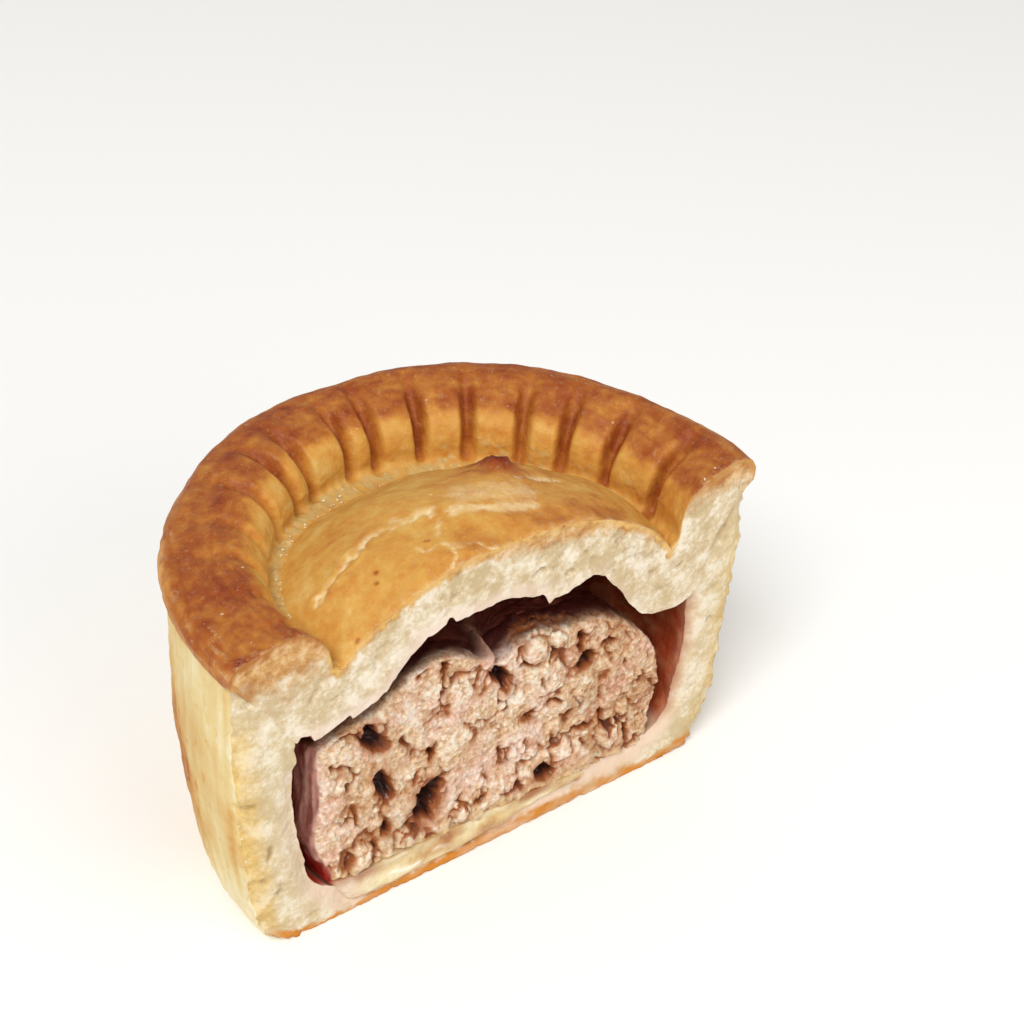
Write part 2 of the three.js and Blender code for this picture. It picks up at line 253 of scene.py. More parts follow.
def buildShell(upper, lower, shape):
    # a closed half-pie shell, its cut face a fine grid between the upper and lower outline
    columns, across = shape["columns"], shape["across"]
    steps = evenSteps(upper, shape["spacing"])
    top = surfaceRings(upper, steps, columns)
    rings = list(top) + list(surfaceRings(lower, steps, columns)[-2::-1])
    last = len(rings) - 1
    tip = len(top) - 1
    places, rows, zones = [], [], []  # zones: 0 upper side, 1 lower side, 2 cut face
    for k, ring in enumerate(rings):
        most = columns if k <= tip else shape["lowerColumns"]
        count = ringColumns(abs(ring[0][0]), most) if 0 < k < last else 0
        chosen = ring[:: columns // count] if count else ring[:1]
        rows.append(list(range(len(places), len(places) + len(chosen))))
        places.extend(chosen)
        zones.extend([0 if k <= tip else 1] * len(chosen))
    faces, faceZones = [], []

    def keep(new, zone):
        faces.extend(new)
        faceZones.extend([zone] * len(new))

    for k in range(last):
        keep(stitch(rows[k], rows[k + 1]), 0 if k < tip else 1)
    below = [0.0] * len(places)  # mm below the upper outline, on the cut
    above = [0.0] * len(places)  # mm above the lower outline, on the cut
    middleRungs = []
    for side in (0, -1):
        ladders = []
        for k in range(tip):
            if k == 0 and side == -1:
                ladders.append(middleRungs)
                continue
            high, low = rows[k][side], rows[last - k][side]
            a, b = np.array(places[high]), np.array(places[low])
            thick = float(np.linalg.norm(a - b))
            above[high] = thick
            below[low] = thick
            rungs = [high]
            for share in np.arange(1, across) / across:
                rungs.append(len(places))
                places.append(a + (b - a) * share)
                zones.append(2)
                below.append(thick * share)
                above.append(thick * (1 - share))
            rungs.append(low)
            ladders.append(rungs)
            if k == 0:
                middleRungs = rungs
        for k in range(tip - 1):
            keep(stitch(ladders[k], ladders[k + 1]), 2)
        point = rows[tip][side]
        keep([(ladders[-1][j], ladders[-1][j + 1], point) for j in range(across)], 2)
    faces, faceZones = outward(places, faces, faceZones)
    return np.array(places), faces, faceZones, np.array(zones), np.array(below), np.array(above)


def outward(places, faces, faceZones):
    # the same faces, turned so that the solid's volume is positive
    bm = bmesh.new()
    for p in places:
        bm.verts.new(p)
    bm.verts.ensure_lookup_table()
    zone = bm.faces.layers.int.new("zone")
    for face, z in zip(faces, faceZones):
        if len(set(face)) == len(face):
            bm.faces.new([bm.verts[i] for i in face])[zone] = z
    bmesh.ops.recalc_face_normals(bm, faces=bm.faces)
    if bm.calc_volume(signed=True) < 0:
        bmesh.ops.reverse_faces(bm, faces=bm.faces)
    turned = [tuple(v.index for v in f.verts) for f in bm.faces]
    zones = [f[zone] for f in bm.faces]
    bm.free()
    return turned, zones


def vertexNormals(places, faces):
    tris = np.array([(f[0], f[i], f[i + 1]) for f in faces for i in range(1, len(f) - 1)])
    a, b, c = places[tris[:, 0]], places[tris[:, 1]], places[tris[:, 2]]
    flat = np.cross(b - a, c - a)
    total = np.zeros_like(places)
    for corner in range(3):
        np.add.at(total, tris[:, corner], flat)
    size = np.linalg.norm(total, axis=1, keepdims=True)
    return total / np.maximum(size, 1e-9)


def addObject(name, data):
    thing = bpy.data.objects.new(name, data)
    bpy.context.scene.collection.objects.link(thing)
    return thing


def keepSharp(mesh):
    # the knife's edge stays crisp where the cut meets a lower or inner side, and soft at the crust
    perLoop = np.repeat([p.material_index for p in mesh.polygons], [p.loop_total for p in mesh.polygons])
    edges = np.zeros(len(mesh.loops), int)
    mesh.loops.foreach_get("edge_index", edges)
    least, most = np.full(len(mesh.edges), 9), np.zeros(len(mesh.edges), int)
    np.minimum.at(least, edges, perLoop)
    np.maximum.at(most, edges, perLoop)
    sharp = mesh.attributes.new("sharp_edge", "BOOLEAN", "EDGE")
    sharp.data.foreach_set("value", (least == 1) & (most == 2))


def makePiece(name, slot, node, materials, places, faces, faceMaterials=None, **data):
    # millimetres round the pie's axis to metres in the model's frame, just within the solids' box
    low = 1000 * np.array(cadBox[0]) + boxMargin
    high = 1000 * np.array(cadBox[1]) - boxMargin
    inFrame = np.clip(places + np.array([0, shiftY, 0]), low, high) / 1000
    mesh = bpy.data.meshes.new(name)
    mesh.from_pydata(inFrame.tolist(), [], [tuple(f) for f in faces])
    for material in materials:
        mesh.materials.append(material)
    if faceMaterials is not None:
        mesh.polygons.foreach_set("material_index", faceMaterials)
        keepSharp(mesh)
    mesh.polygons.foreach_set("use_smooth", [True] * len(mesh.polygons))
    for key, values in data.items():  # shares between 0 and 1, or vectors
        values = np.asarray(values, np.float32)
        if values.ndim == 1:
            mesh.attributes.new(key, "FLOAT", "POINT").data.foreach_set("value", np.clip(values, 0, 1))
        else:
            mesh.attributes.new(key, "FLOAT_VECTOR", "POINT").data.foreach_set("vector", values.ravel())
    mesh.update()
    piece = addObject(name, mesh)
    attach(piece, "root")
    if node:
        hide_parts(node)
    triangles = sum(len(f) - 2 for f in faces)
    print(f"{name}: {len(mesh.vertices)} vertices, {triangles} triangles")


# forms of the pastry
def spread(theta):
    return pie["rimSpread"] * smooth(-np.sin(theta), -0.25, 0.18)


def wallRadius(height, theta):
    share = height / pie["caseHeight"]
    belly = pie["wallBulge"] * np.sin(math.pi * share)
    drop = np.maximum(0, pie["footCorner"] - height) / pie["footCorner"]
    corner = pie["footCorner"] * (1 - np.sqrt(1 - drop * drop))
    uneven = 0.3 * waver(theta + share, 1.7) * np.sin(math.pi * share)
    top = pie["wallTopRadius"] + spread(theta)
    return pie["footRadius"] + (top - pie["footRadius"]) * share + belly - corner + uneven


def edgeUnderside(theta):
    tilt = pie["lidEdgeTilt"] * np.cos(theta)
    return pie["lidEdgeUnderside"] - tilt + 0.4 * waver(theta, 0.6) * np.sin(theta)


def seam(pairing, share):
    # a row of controls on the slope where lid and case meet
    def wide(theta):
        top = pie["wallTopRadius"] + spread(theta) - 0.3
        return pie["seamFoot"] + (top - pie["seamFoot"]) * share

    def tall(_, theta):
        foot = edgeUnderside(theta)
        return foot + (pie["caseHeight"] - foot) * share**0.85

    return pairing, wide, tall


def floorAt(radius, theta):
    return pie["floorHeight"] + pie["floorRise"] * smooth(radius * np.cos(theta), -6, 10)


def backness(theta):
    return smooth(np.sin(theta), 0, 0.9)


def domeFoot(theta):
    oval = pie["domeOval"] * np.cos(2 * theta)
    return pie["domeRadius"] + pie["domeShift"] * np.cos(theta) + oval + 0.5 * backness(theta)


def valleyAt(theta):
    return pie["valleyHeight"] - pie["valleyTilt"] * np.cos(theta)


def valleyEdge(theta):
    return pie["valleyRadius"] + 0.6 * np.cos(theta) - 0.9 * backness(theta)


def acrossValley(share):
    # radius between the foot of the dome and the outer edge of the valley
    return lambda theta: domeFoot(theta) + share * (valleyEdge(theta) - domeFoot(theta))


def domeAt(radius, theta):
    across = radius / domeFoot(theta)
    steep = pie["domeShoulder"] * (1 - np.sin(theta))
    x = radius * np.cos(theta)
    y = radius * np.sin(theta)
    lumps = 0.3 * np.sin(0.33 * x + 1) * np.sin(0.41 * y + 0.4)
    top = pie["domeHeight"] - 0.3
    return top - (top - valleyAt(theta)) * ((1 - steep) * across**2 + steep * across**12) + lumps


def domeUnderAt(radius, theta):
    x = radius * np.cos(theta)
    fromCut = radius * np.sin(theta) + pie["cutOffset"]
    rag = 2.4 * bell(x, 6.5, 3.2) * bell(fromCut, 0, 5)
    return pie["lidUnderside"] - 0.9 * smooth(x, 0, 12) - rag - (radius / 16) ** 4 * 1.6


lidShape = {
    "spacing": 0.3,  # from ring to ring
    "columns": 384,
    "lowerColumns": 96,
    "across": 36,  # cells from crust to underside on the cut
    "fluteWidths": [20.5, 17, 13.5, 12, 15, 13.5, 13.5, 9, 15.5, 9, 13, 14, 12, 14.5, 13, 14],
    "firstCrease": -19,  # degrees
    "fluteDepth": 2.1,
    "fluteCrown": 0.3,  # how much the flutes bulge between creases, in shares of that depth
    "crownWidth": 6.5,  # degrees from a crease to the top of the bulge
    "creaseFloor": 0.5,  # half the flat bottom of a crease, degrees
    "creaseWall": 2.3,
    "fluteLean": 0.7,
    "rimFrom": (26.3, 29),  # radii between which the valley turns into the rim
    "wrapRadius": 32,  # what is drawn round the rim has its true size at this radius
    "wrinkle": 0.14,  # height of the fine ridges along the rim
    "crumb": 0.12,  # roughness of the cut
    "splits": [
        [(-21.6, 1.8), (-18.9, 2.5), (-14.5, 4.2), (-12.1, 5.3), (-9.8, 3.5), (-7.4, 3.6), (-5.2, 3.6)],
        [(7.5, 4.0), (11.2, 3.8), (13.8, 3.3)],
    ],
    "crazing": [
        [(-5.2, 3.6), (-6.0, 0.6), (-7.3, -1.9), (-6.8, -3.9), (-8.4, -6.3)],
        [(-6.8, -3.9), (-4.6, -5.0), (-2.8, -6.4)],
        [(-7.3, -1.9), (-9.2, -2.4), (-10.3, -1.2)],
    ],
    "bareSpots": [  # where the glaze flaked off: route, half width and how bare
        ([(-3.4, 1.6), (-0.6, 0.2), (2.6, -1.3), (5.6, -2.2)], 1.2, 0.75),
        ([(-0.5, 4.0), (3.0, 1.8), (6.5, 0.6)], 2.6, 0.42),
        ([(-9.0, 5.0), (-5.0, 3.4)], 1.2, 0.4),
    ],
    "specks": [(-15.2, -0.8), (-15.9, -2.1), (-20.9, -6.0), (-8.5, -1.0), (4.0, 9.0), (12.0, 8.5)],
    "blister": (7.6, 8.1, 1.9),  # x, y and radius
    "pits": [  # x, height, half width, half height and depth of holes in the crumb
        (4.0, 42.3, 0.9, 0.35, 0.4), (8.5, 40.3, 0.9, 0.3, 0.4), (10.8, 42.2, 0.45, 0.35, 0.35),
        (16.0, 42.0, 0.7, 0.3, 0.4), (22.0, 34.5, 0.8, 0.35, 0.4), (26.5, 34.2, 0.5, 0.3, 0.4),
        (-8.0, 43.6, 0.5, 0.3, 0.3), (-27.0, 37.5, 0.4, 0.7, 0.3), (-18.6, 38.6, 0.5, 0.9, 0.35),
        (19.6, 38.4, 0.9, 0.25, 0.3), (17.6, 40.1, 0.8, 0.22, 0.3), (24.2, 36.0, 0.3, 0.6, 0.3),
    ],
    "notches": [(-28.1, 31.1, 0.9, 1.3, 1.0), (-22.6, 31.2, 0.5, 1.2, 1.0), (-8.7, 40.4, 0.6, 0.9, 1.0)],
}


def creases(theta):
    # share of full depth: 1 in a crease, 0 on the flutes, and weaker round the left
    angle = lidShape["firstCrease"]
    turned = np.degrees(theta)
    nearest = np.full(np.shape(theta), 99.0)
    for width in lidShape["fluteWidths"]:
        nearest = np.minimum(nearest, np.abs(turned - angle))
        angle += width
    fade = 1 - 0.75 * smooth(turned, 118, 150)
    flat = lidShape["creaseFloor"]
    pressed = fall(nearest, flat, flat + lidShape["creaseWall"])
    crown = 1 - (1 - np.clip(nearest / lidShape["crownWidth"], 0, 1)) ** 2
    return (pressed - lidShape["fluteCrown"] * crown) * fade


def leftness(theta):
    return smooth(-np.cos(theta), -0.3, 0.95)


def makeLidShell():
    def dome(pairing, share):
        return pairing, lambda theta: share * domeFoot(theta), domeAt

    def collar(pairing, radius, height, share, lower):
        # the rim from the valley up its inner slope, "lower" on the right than on average
        lean = lidShape["fluteLean"] * fall(radius, 27, 35)

        def wide(theta):
            push = 0.75 * share * lidShape["fluteDepth"] * creases(theta)
            push -= 0.8 * backness(theta) * fall(radius, 26.5, 29)
            return radius + lean * np.cos(theta) + push + 0.25 * waver(theta, 2.9)

        def tall(_, theta):
            sink = 0.65 * share * lidShape["fluteDepth"] * creases(theta)
            return height - lower * np.cos(theta) - sink + 0.3 * waver(theta, 4.1)

        return pairing, wide, tall

    def edge(pairing, radius, height):
        def tall(_, theta):
            uneven = pie["rimTilt"] * np.cos(theta) + 0.3 * waver(theta, 4.1)
            return height + uneven * smooth(height, 43, 46)

        return pairing, lambda theta: radius - 0.2 * np.sin(6 * theta) + spread(theta), tall

    def hang(pairing, radius, rise, reach):
        return (
            pairing,
            lambda theta: radius - reach * leftness(theta) + 0.4 * waver(theta, 5.2),
            lambda _, theta: edgeUnderside(theta) + rise,
        )

    upper = [
        *zip((0, 0.07, 0.14, 0.21, 0.28), (0, 4, 8, 12, 16), [domeAt] * 5),
        *[dome(*row) for row in ((0.35, 0.8), (0.41, 0.88), (0.46, 0.945), (0.49, 0.985))],
        (0.505, acrossValley(0.06), lambda _, theta: valleyAt(theta) + 0.1),
        (0.53, acrossValley(0.5), lambda _, theta: valleyAt(theta)),
        (0.555, acrossValley(0.97), lambda _, theta: valleyAt(theta) + 0.25),
        collar(0.58, pie["valleyRadius"] + 1, 39.2, 0.5, 1.2),
        collar(0.62, 26.5, 41.2, 1, 0.8),
        collar(0.67, 27.2, 43.4, 1, 0.6),
        collar(0.73, 28.8, 45.3, 0.85, 0.9),
        collar(0.80, 31.4, 46.3, 0.45, 0.4),
        collar(0.88, 34.4, pie["rimHeight"], 0.12, -pie["rimTilt"]),
        edge(0.93, 36.3, 46.2),
        edge(0.96, 37.3, 45.1),
        edge(0.983, pie["rimRadius"], 44),
        edge(1, 37.3, 43.1),
    ]
    hanging = [(0.33, 17.6, 7, 2.8), (0.38, 19.2, 4.9, 2.4), (0.43, 20.9, 2.2, 1.9)]
    hanging += [(0.48, 23, 0.3, 0.4), (0.54, 25.8, -0.3, 0), (0.62, 28.6, -0.3, 0)]
    lower = [
        *zip((0, 0.08, 0.17), (0, 4.5, 9), [domeUnderAt] * 3),
        (0.27, lambda theta: 14.6 - 1.6 * leftness(theta), domeUnderAt),
        *[hang(*row) for row in hanging],
        *[seam(*row) for row in ((0.69, 0.03), (0.79, 0.35), (0.89, 0.7), (0.965, 0.96))],
        edge(1, 37.3, 43.1),
    ]
    return buildShell(upper, lower, lidShape)


def pressCut(places, below, depth, crumb):
    # push what the knife laid open back by the torn crumb's relief, and a little of what follows
    flat = places * np.array([1, 0, 1])
    rough = 0.5 + 0.5 * grain(flat, 0.7, 21)
    coarse = 0.5 + 0.5 * grain(flat, 2.2, 22)
    pits = smooth(grain(warped(flat, 1.2, 0.4, 24), 1.3, 23, (1.6, 1, 0.8)), 0.6, 0.95)
    relief = crumb * (0.9 * rough + 0.9 * coarse) + 0.25 * pits
    relief *= 0.4 + 0.6 * smooth(below, 0, 0.6)
    follow = np.clip(1 - (places[:, 1] - cutY) / 4, 0, 1) ** 2
    pressed = places.copy()
    pressed[:, 1] = np.maximum(places[:, 1] + follow * (relief + depth), cutY)
    return pressed


def makeLid(materials):
    places, faces, faceZones, zones, below, above = makeLidShell()
    normals = vertexNormals(places, faces)
    start = places
    x, y, z = places.T
    radius, theta = np.hypot(x, y), turnAngle(x, y)
    turned = np.degrees(theta)
    onTop = (zones == 0).astype(float)
    onRim = smooth(radius, *lidShape["rimFrom"])
    onLeft = smooth(turned, 100, 160)
    wrap = unrolled(places, lidShape["wrapRadius"])
    loose = warped(places, 1.6, 0.45, 6)

    # relief of the glazed crust: slow unevenness, fine ridges along the rim, shallow folds
    lift = 0.18 * grain(places, 5.5, 3) + 0.06 * grain(places, 1.5, 4)
    ridges = grain(wrap, 1.0, 5, (5, 0.8, 0.8))
    folds = smooth(1 - np.abs(grain(wrap, 2.6, 19, (2.6, 1, 1))), 0.82, 1)
    lift += lidShape["wrinkle"] * ridges * onRim * (0.35 + 0.65 * onLeft)
    lift -= 0.12 * folds * onRim * (0.3 + 0.7 * onLeft)
    toSplit, toCraze = [
        np.minimum.reduce([nearRoute(loose, route) for route in lidShape[key]])
        for key in ("splits", "crazing")
    ]
    torn = smooth(grain(places, 1.1, 20), -0.9, 0.2)  # the splits are broken up by strands of dough
    split = bell(toSplit + 0.2 * grain(places, 0.7, 31), 0, 0.33) * torn * onTop
    craze = bell(toCraze, 0, 0.26) * torn * onTop
    lift += -0.22 * split + 0.1 * bell(toSplit, 0.8, 0.35) - 0.06 * craze
    bx, by, blisterSize = lidShape["blister"]
    toBlister = np.hypot(loose[:, 0] - bx, loose[:, 1] - by) / blisterSize
    blister = np.exp(-(toBlister**4)) * onTop
    lift += 0.6 * bell(toBlister, 0, 2.3) + 0.85 * blister * (1 + 0.6 * grain(places, 0.9, 8))
    bare = np.zeros(len(places))
    streaky = 0.6 * grain(places, 1.1, 9, (2.2, 1, 1)) + 0.3 * grain(places, 0.5, 10)
    for route, half, share in lidShape["bareSpots"]:
        ragged = nearRoute(loose, route) / half + 0.5 * streaky
        bare = np.maximum(bare, share * fall(ragged, 0.35, 1))
    bare *= onTop
    lift -= 0.1 * bare * (1 + 0.5 * grain(places, 0.7, 10))
    foot, shore = domeFoot(theta), valleyEdge(theta)
    valley = smooth(radius, foot - 0.4, foot + 0.4)
    valley *= fall(radius + 0.4 * grain(places, 1, 32), shore + 0.2, shore + 1.4)
    lift += 0.2 * valley * grain(places, 0.75, 18)  # crumbly where the rim was pressed on
    places = places + normals * (lift * onTop)[:, None]

    # the torn underside near the knife, with one small drip and a few notches
    behind = places[:, 1] - cutY
    nearCut = np.exp(-behind / 1.6)
    nearUnder = np.where(zones == 2, np.exp(-above / 1.1), (zones == 1) * 1.0) * (radius < 29.3)
    tear = 0.22 * grain(places, 1.5, 11, (1, 4, 1)) + 0.1 * grain(places, 0.6, 12)
    flaky = bell(x, -18.5, 2.4) * smooth(z, 30, 31)
    tear += 0.5 * flaky * grain(places, 0.9, 25, (1, 3, 2))
    drip = 1.2 * bell(x, 5.7, 0.5) * bell(behind, 0, 0.9) * np.exp(-above / 0.6) * (zones != 0) * (z > 33)
    notch = nearSpots(start, lidShape["notches"]) * np.exp(-above / 1.2) * (zones != 0)
    places[:, 2] += nearUnder * nearCut * tear - drip + 0.9 * notch * nearCut
    places[:, 2] += 0.25 * ((zones == 1) & (radius < 29)) * (1 - nearCut) * grain(places, 2.2, 13)

    # the cut: fine crumb, long pits, and a crease where lid and case join on the right
    crack = smooth(grain(loose, 1.3, 26, (2.2, 1, 0.45)), 0.45, 0.8)
    crack *= bell(x, 19, 5) * bell(z, 39, 4)
    seamDip = bell(above, 0, 0.9) * bell(z, 36.3, 3.2) * (x > 0) * (radius > 30) * (zones != 0)
    pits = nearSpots(loose, lidShape["pits"])
    depth = pits * (zones == 2) + 0.25 * crack * (zones == 2) + 0.5 * seamDip
    places = pressCut(places, below, depth, lidShape["crumb"])

    # how far each spot is browned: 0 raw dough, 1 burnt, and darker in the creases as painted shade
    paintedCreaseShade = np.clip(creases(theta), 0, 1) * smooth(radius, 25.0, 26.6) * fall(radius, 29, 33.5)
    mottle = 0.5 * grain(places, 4.5, 14) + 0.5 * grain(loose, 1.7, 15) + 0.35 * grain(places, 0.8, 27)
    baked = 0.36 + 0.11 * mottle + 0.05 * smooth(x + 0.8 * mottle, -4, 9)
    baked += 0.09 * smooth(-y + 2 * grain(places, 3, 28, (2, 1, 1)), 0, 5) * smooth(z, 42, 46)
    baked -= 0.04 * smooth(radius, 17, 22)
    rimBake = 0.42 + 0.22 * smooth(z + 1.2 * mottle, 40, 46) + 0.04 * smooth(radius, 30, 34)
    rimMottle = 0.55 * grain(wrap, 3.0, 16, (1.8, 1, 1)) + 0.45 * grain(loose, 1.4, 17)
    rimMottle += 0.2 * grain(places, 0.6, 33)
    rimBake += 0.17 * rimMottle + 0.05 * ridges + 0.05 * folds
    # the creases are darkened here with painted shade
    baked = baked * (1 - onRim) + rimBake * onRim + 0.22 * paintedCreaseShade
    # painted sheen: the rim's outer lip on the left made paler where it catches the light
    baked -= 0.1 * smooth(radius, 35.8, 37.4) * smooth(turned, 120, 165)
    corner = bell(x, -35.6, 1.7) * bell(y, cutY, 2.0) * smooth(z, 41.5, 43.5)
    baked += 0.3 * corner * (1 + 0.5 * grain(places, 1.2, 29)) + 0.62 * bell(toBlister, 0, 1.05) * onTop
    baked += 0.12 * bell(toBlister, 1.5, 0.9) * onTop
    for sx, sy in lidShape["specks"]:
        baked += 0.4 * bell(np.hypot(x - sx, y - sy), 0, 0.28) * onTop
    scaly = smooth(grain(wrap, 0.8, 30, (3, 1, 1.5)), 0.3, 0.7) * smooth(radius, 33.5, 36.5)
    scaly *= smooth(turned, 125, 150) * (z > 42)
    behind = y - cutY
    inland = smooth(behind, 4, 12)
    pale = valley * inland * (0.65 + 0.35 * grain(places, 0.9, 35))
    worn = np.exp(-np.maximum(0, behind + 0.5 * grain(places, 1.2, 34)) / 0.5)
    flour = smooth(grain(places, 0.55, 38), 0.35, 0.7) * valley * smooth(grain(places, 4, 39), -0.2, 0.6)
    white = 0.85 * split + 0.65 * craze + bare * (0.85 + 0.5 * streaky) + 0.16 * scaly
    white += 0.25 * worn * onTop + 0.6 * flour * inland

    # what the cut shows: tan band under the crust, golden line at its edge, damp pink foot
    rimCut = smooth(radius, 25, 27)
    ragged = below + 0.6 * grain(places, 1.1, 36) + 0.35 * grain(places, 0.5, 37)
    bandWidth = 1.4 + 2.2 * bell(x, 7, 10)
    band = fall(ragged, 0.35 * bandWidth, bandWidth) * (1 - rimCut)
    rimTan = smooth(z + 1.6 * grain(places, 1.3, 44), 38.5, 43.5) * (x < 0)
    rimTan += smooth(z + 1.3 * grain(places, 1.3, 44), 41.5, 45.5) * (x > 0)
    band = np.maximum(band, rimTan * rimCut)
    brown = fall(ragged, 0.2, 1.4) * smooth(z, 42, 44.5) * rimCut * np.where(x > 0, 0.55, 0.9)
    damp = fall(above + 0.9 * grain(places, 1.5, 45), 0.2, 3.0)
    damp *= (radius < 29.5) * (0.7 - 0.5 * smooth(x, 0, 12))
    # painted shade: the pits, cracks and the crease at the seam are tinted brown below, standing for their
    # shadow
    dent = np.clip(pits + 0.5 * crack, 0, 1)
    makePiece(
        "baked_lid",
        "lid_pastry",
        "pastry_lid",
        [materials[key] for key in ("glazedCrust", "steamedDough", "cutCrumb")],
        places,
        faces,
        faceZones,
        baked=baked,
        pale=pale,
        white=white,
        band=band,
        crustLine=bell(ragged, 0, 0.55) * (zones == 2),
        # brown: tan under the rim's crust, and painted shade in the pits, cracks and seam crease
        brown=brown + 0.3 * dent + 0.35 * seamDip,
        damp=damp,
    )


caseShape = {
    "spacing": 0.33,
    "columns": 384,
    "lowerColumns": 128,
    "across": 28,
    "streak": 0.09,  # height of the upright ripples on the wall
    "wallFrom": 29,  # the outer side is wall beyond this radius, and underneath within it
    "wrapRadius": 36,
    "crumb": 0.15,
    "brownPatches": [  # middle in degrees and mm of height, half sizes in the same, and how brown
        (155, 17, 16, 12, 0.55), (187, 19, 4, 8, 0.16), (174, 9, 7, 6, 0.1),
        (62, 20, 30, 14, 0.22), (8, 12, 14, 9, 0.2),
    ],
    "pits": [
        (-33.4, 16.3, 0.4, 0.8, 0.5), (-34.2, 12.2, 0.5, 0.6, 0.5), (-35.6, 24.6, 0.7, 0.5, 0.5),
        (-32.2, 9.0, 0.5, 0.5, 0.5), (33.4, 22.0, 0.4, 0.6, 0.4), (-4.0, 1.5, 1.8, 0.45, 1.6),
    ],
}


def makeCaseShell():
    def hollow(pairing, radius, height):
        return pairing, lambda theta: radius + 0.3 * waver(theta, height), height

    def wall(pairing, height):
        return pairing, lambda theta: wallRadius(height, theta), height

    widest = pie["cavityRadius"]
    sides = [(0.36, 25.2, 4.8), (0.41, 27.4, 6.4), (0.46, 28.7, 8.9), (0.54, 29.7, 13.5)]
    sides += [(0.62, widest, 19), (0.69, widest - 0.2, 24)]
    inner = [(0, 0, floorAt), (0.1, 7, floorAt), (0.2, 15, floorAt), (0.30, 22.6, floorAt)]
    inner += [hollow(*row) for row in sides]
    inner += [seam(*row) for row in ((0.75, 0), (0.84, 0.3), (0.93, 0.65), (1, 1))]
    # the outer side comes first in the shell, because it is the finely gridded one
    walls = [(0.395, 0.4), (0.43, 2.6), (0.47, 6.5), (0.54, 12), (0.62, 18)]
    walls += [(0.69, 24), (0.76, 30), (0.85, 35.5), (0.93, 39.8), (0.985, 42)]
    outer = [(0, 0, 0), (0.1, 7, 0), (0.2, 15, 0), (0.30, 25, 0), (0.36, 29.3, 0)]
    outer += [wall(*row) for row in walls]
    return buildShell([*outer, seam(1, 1)], inner, caseShape)


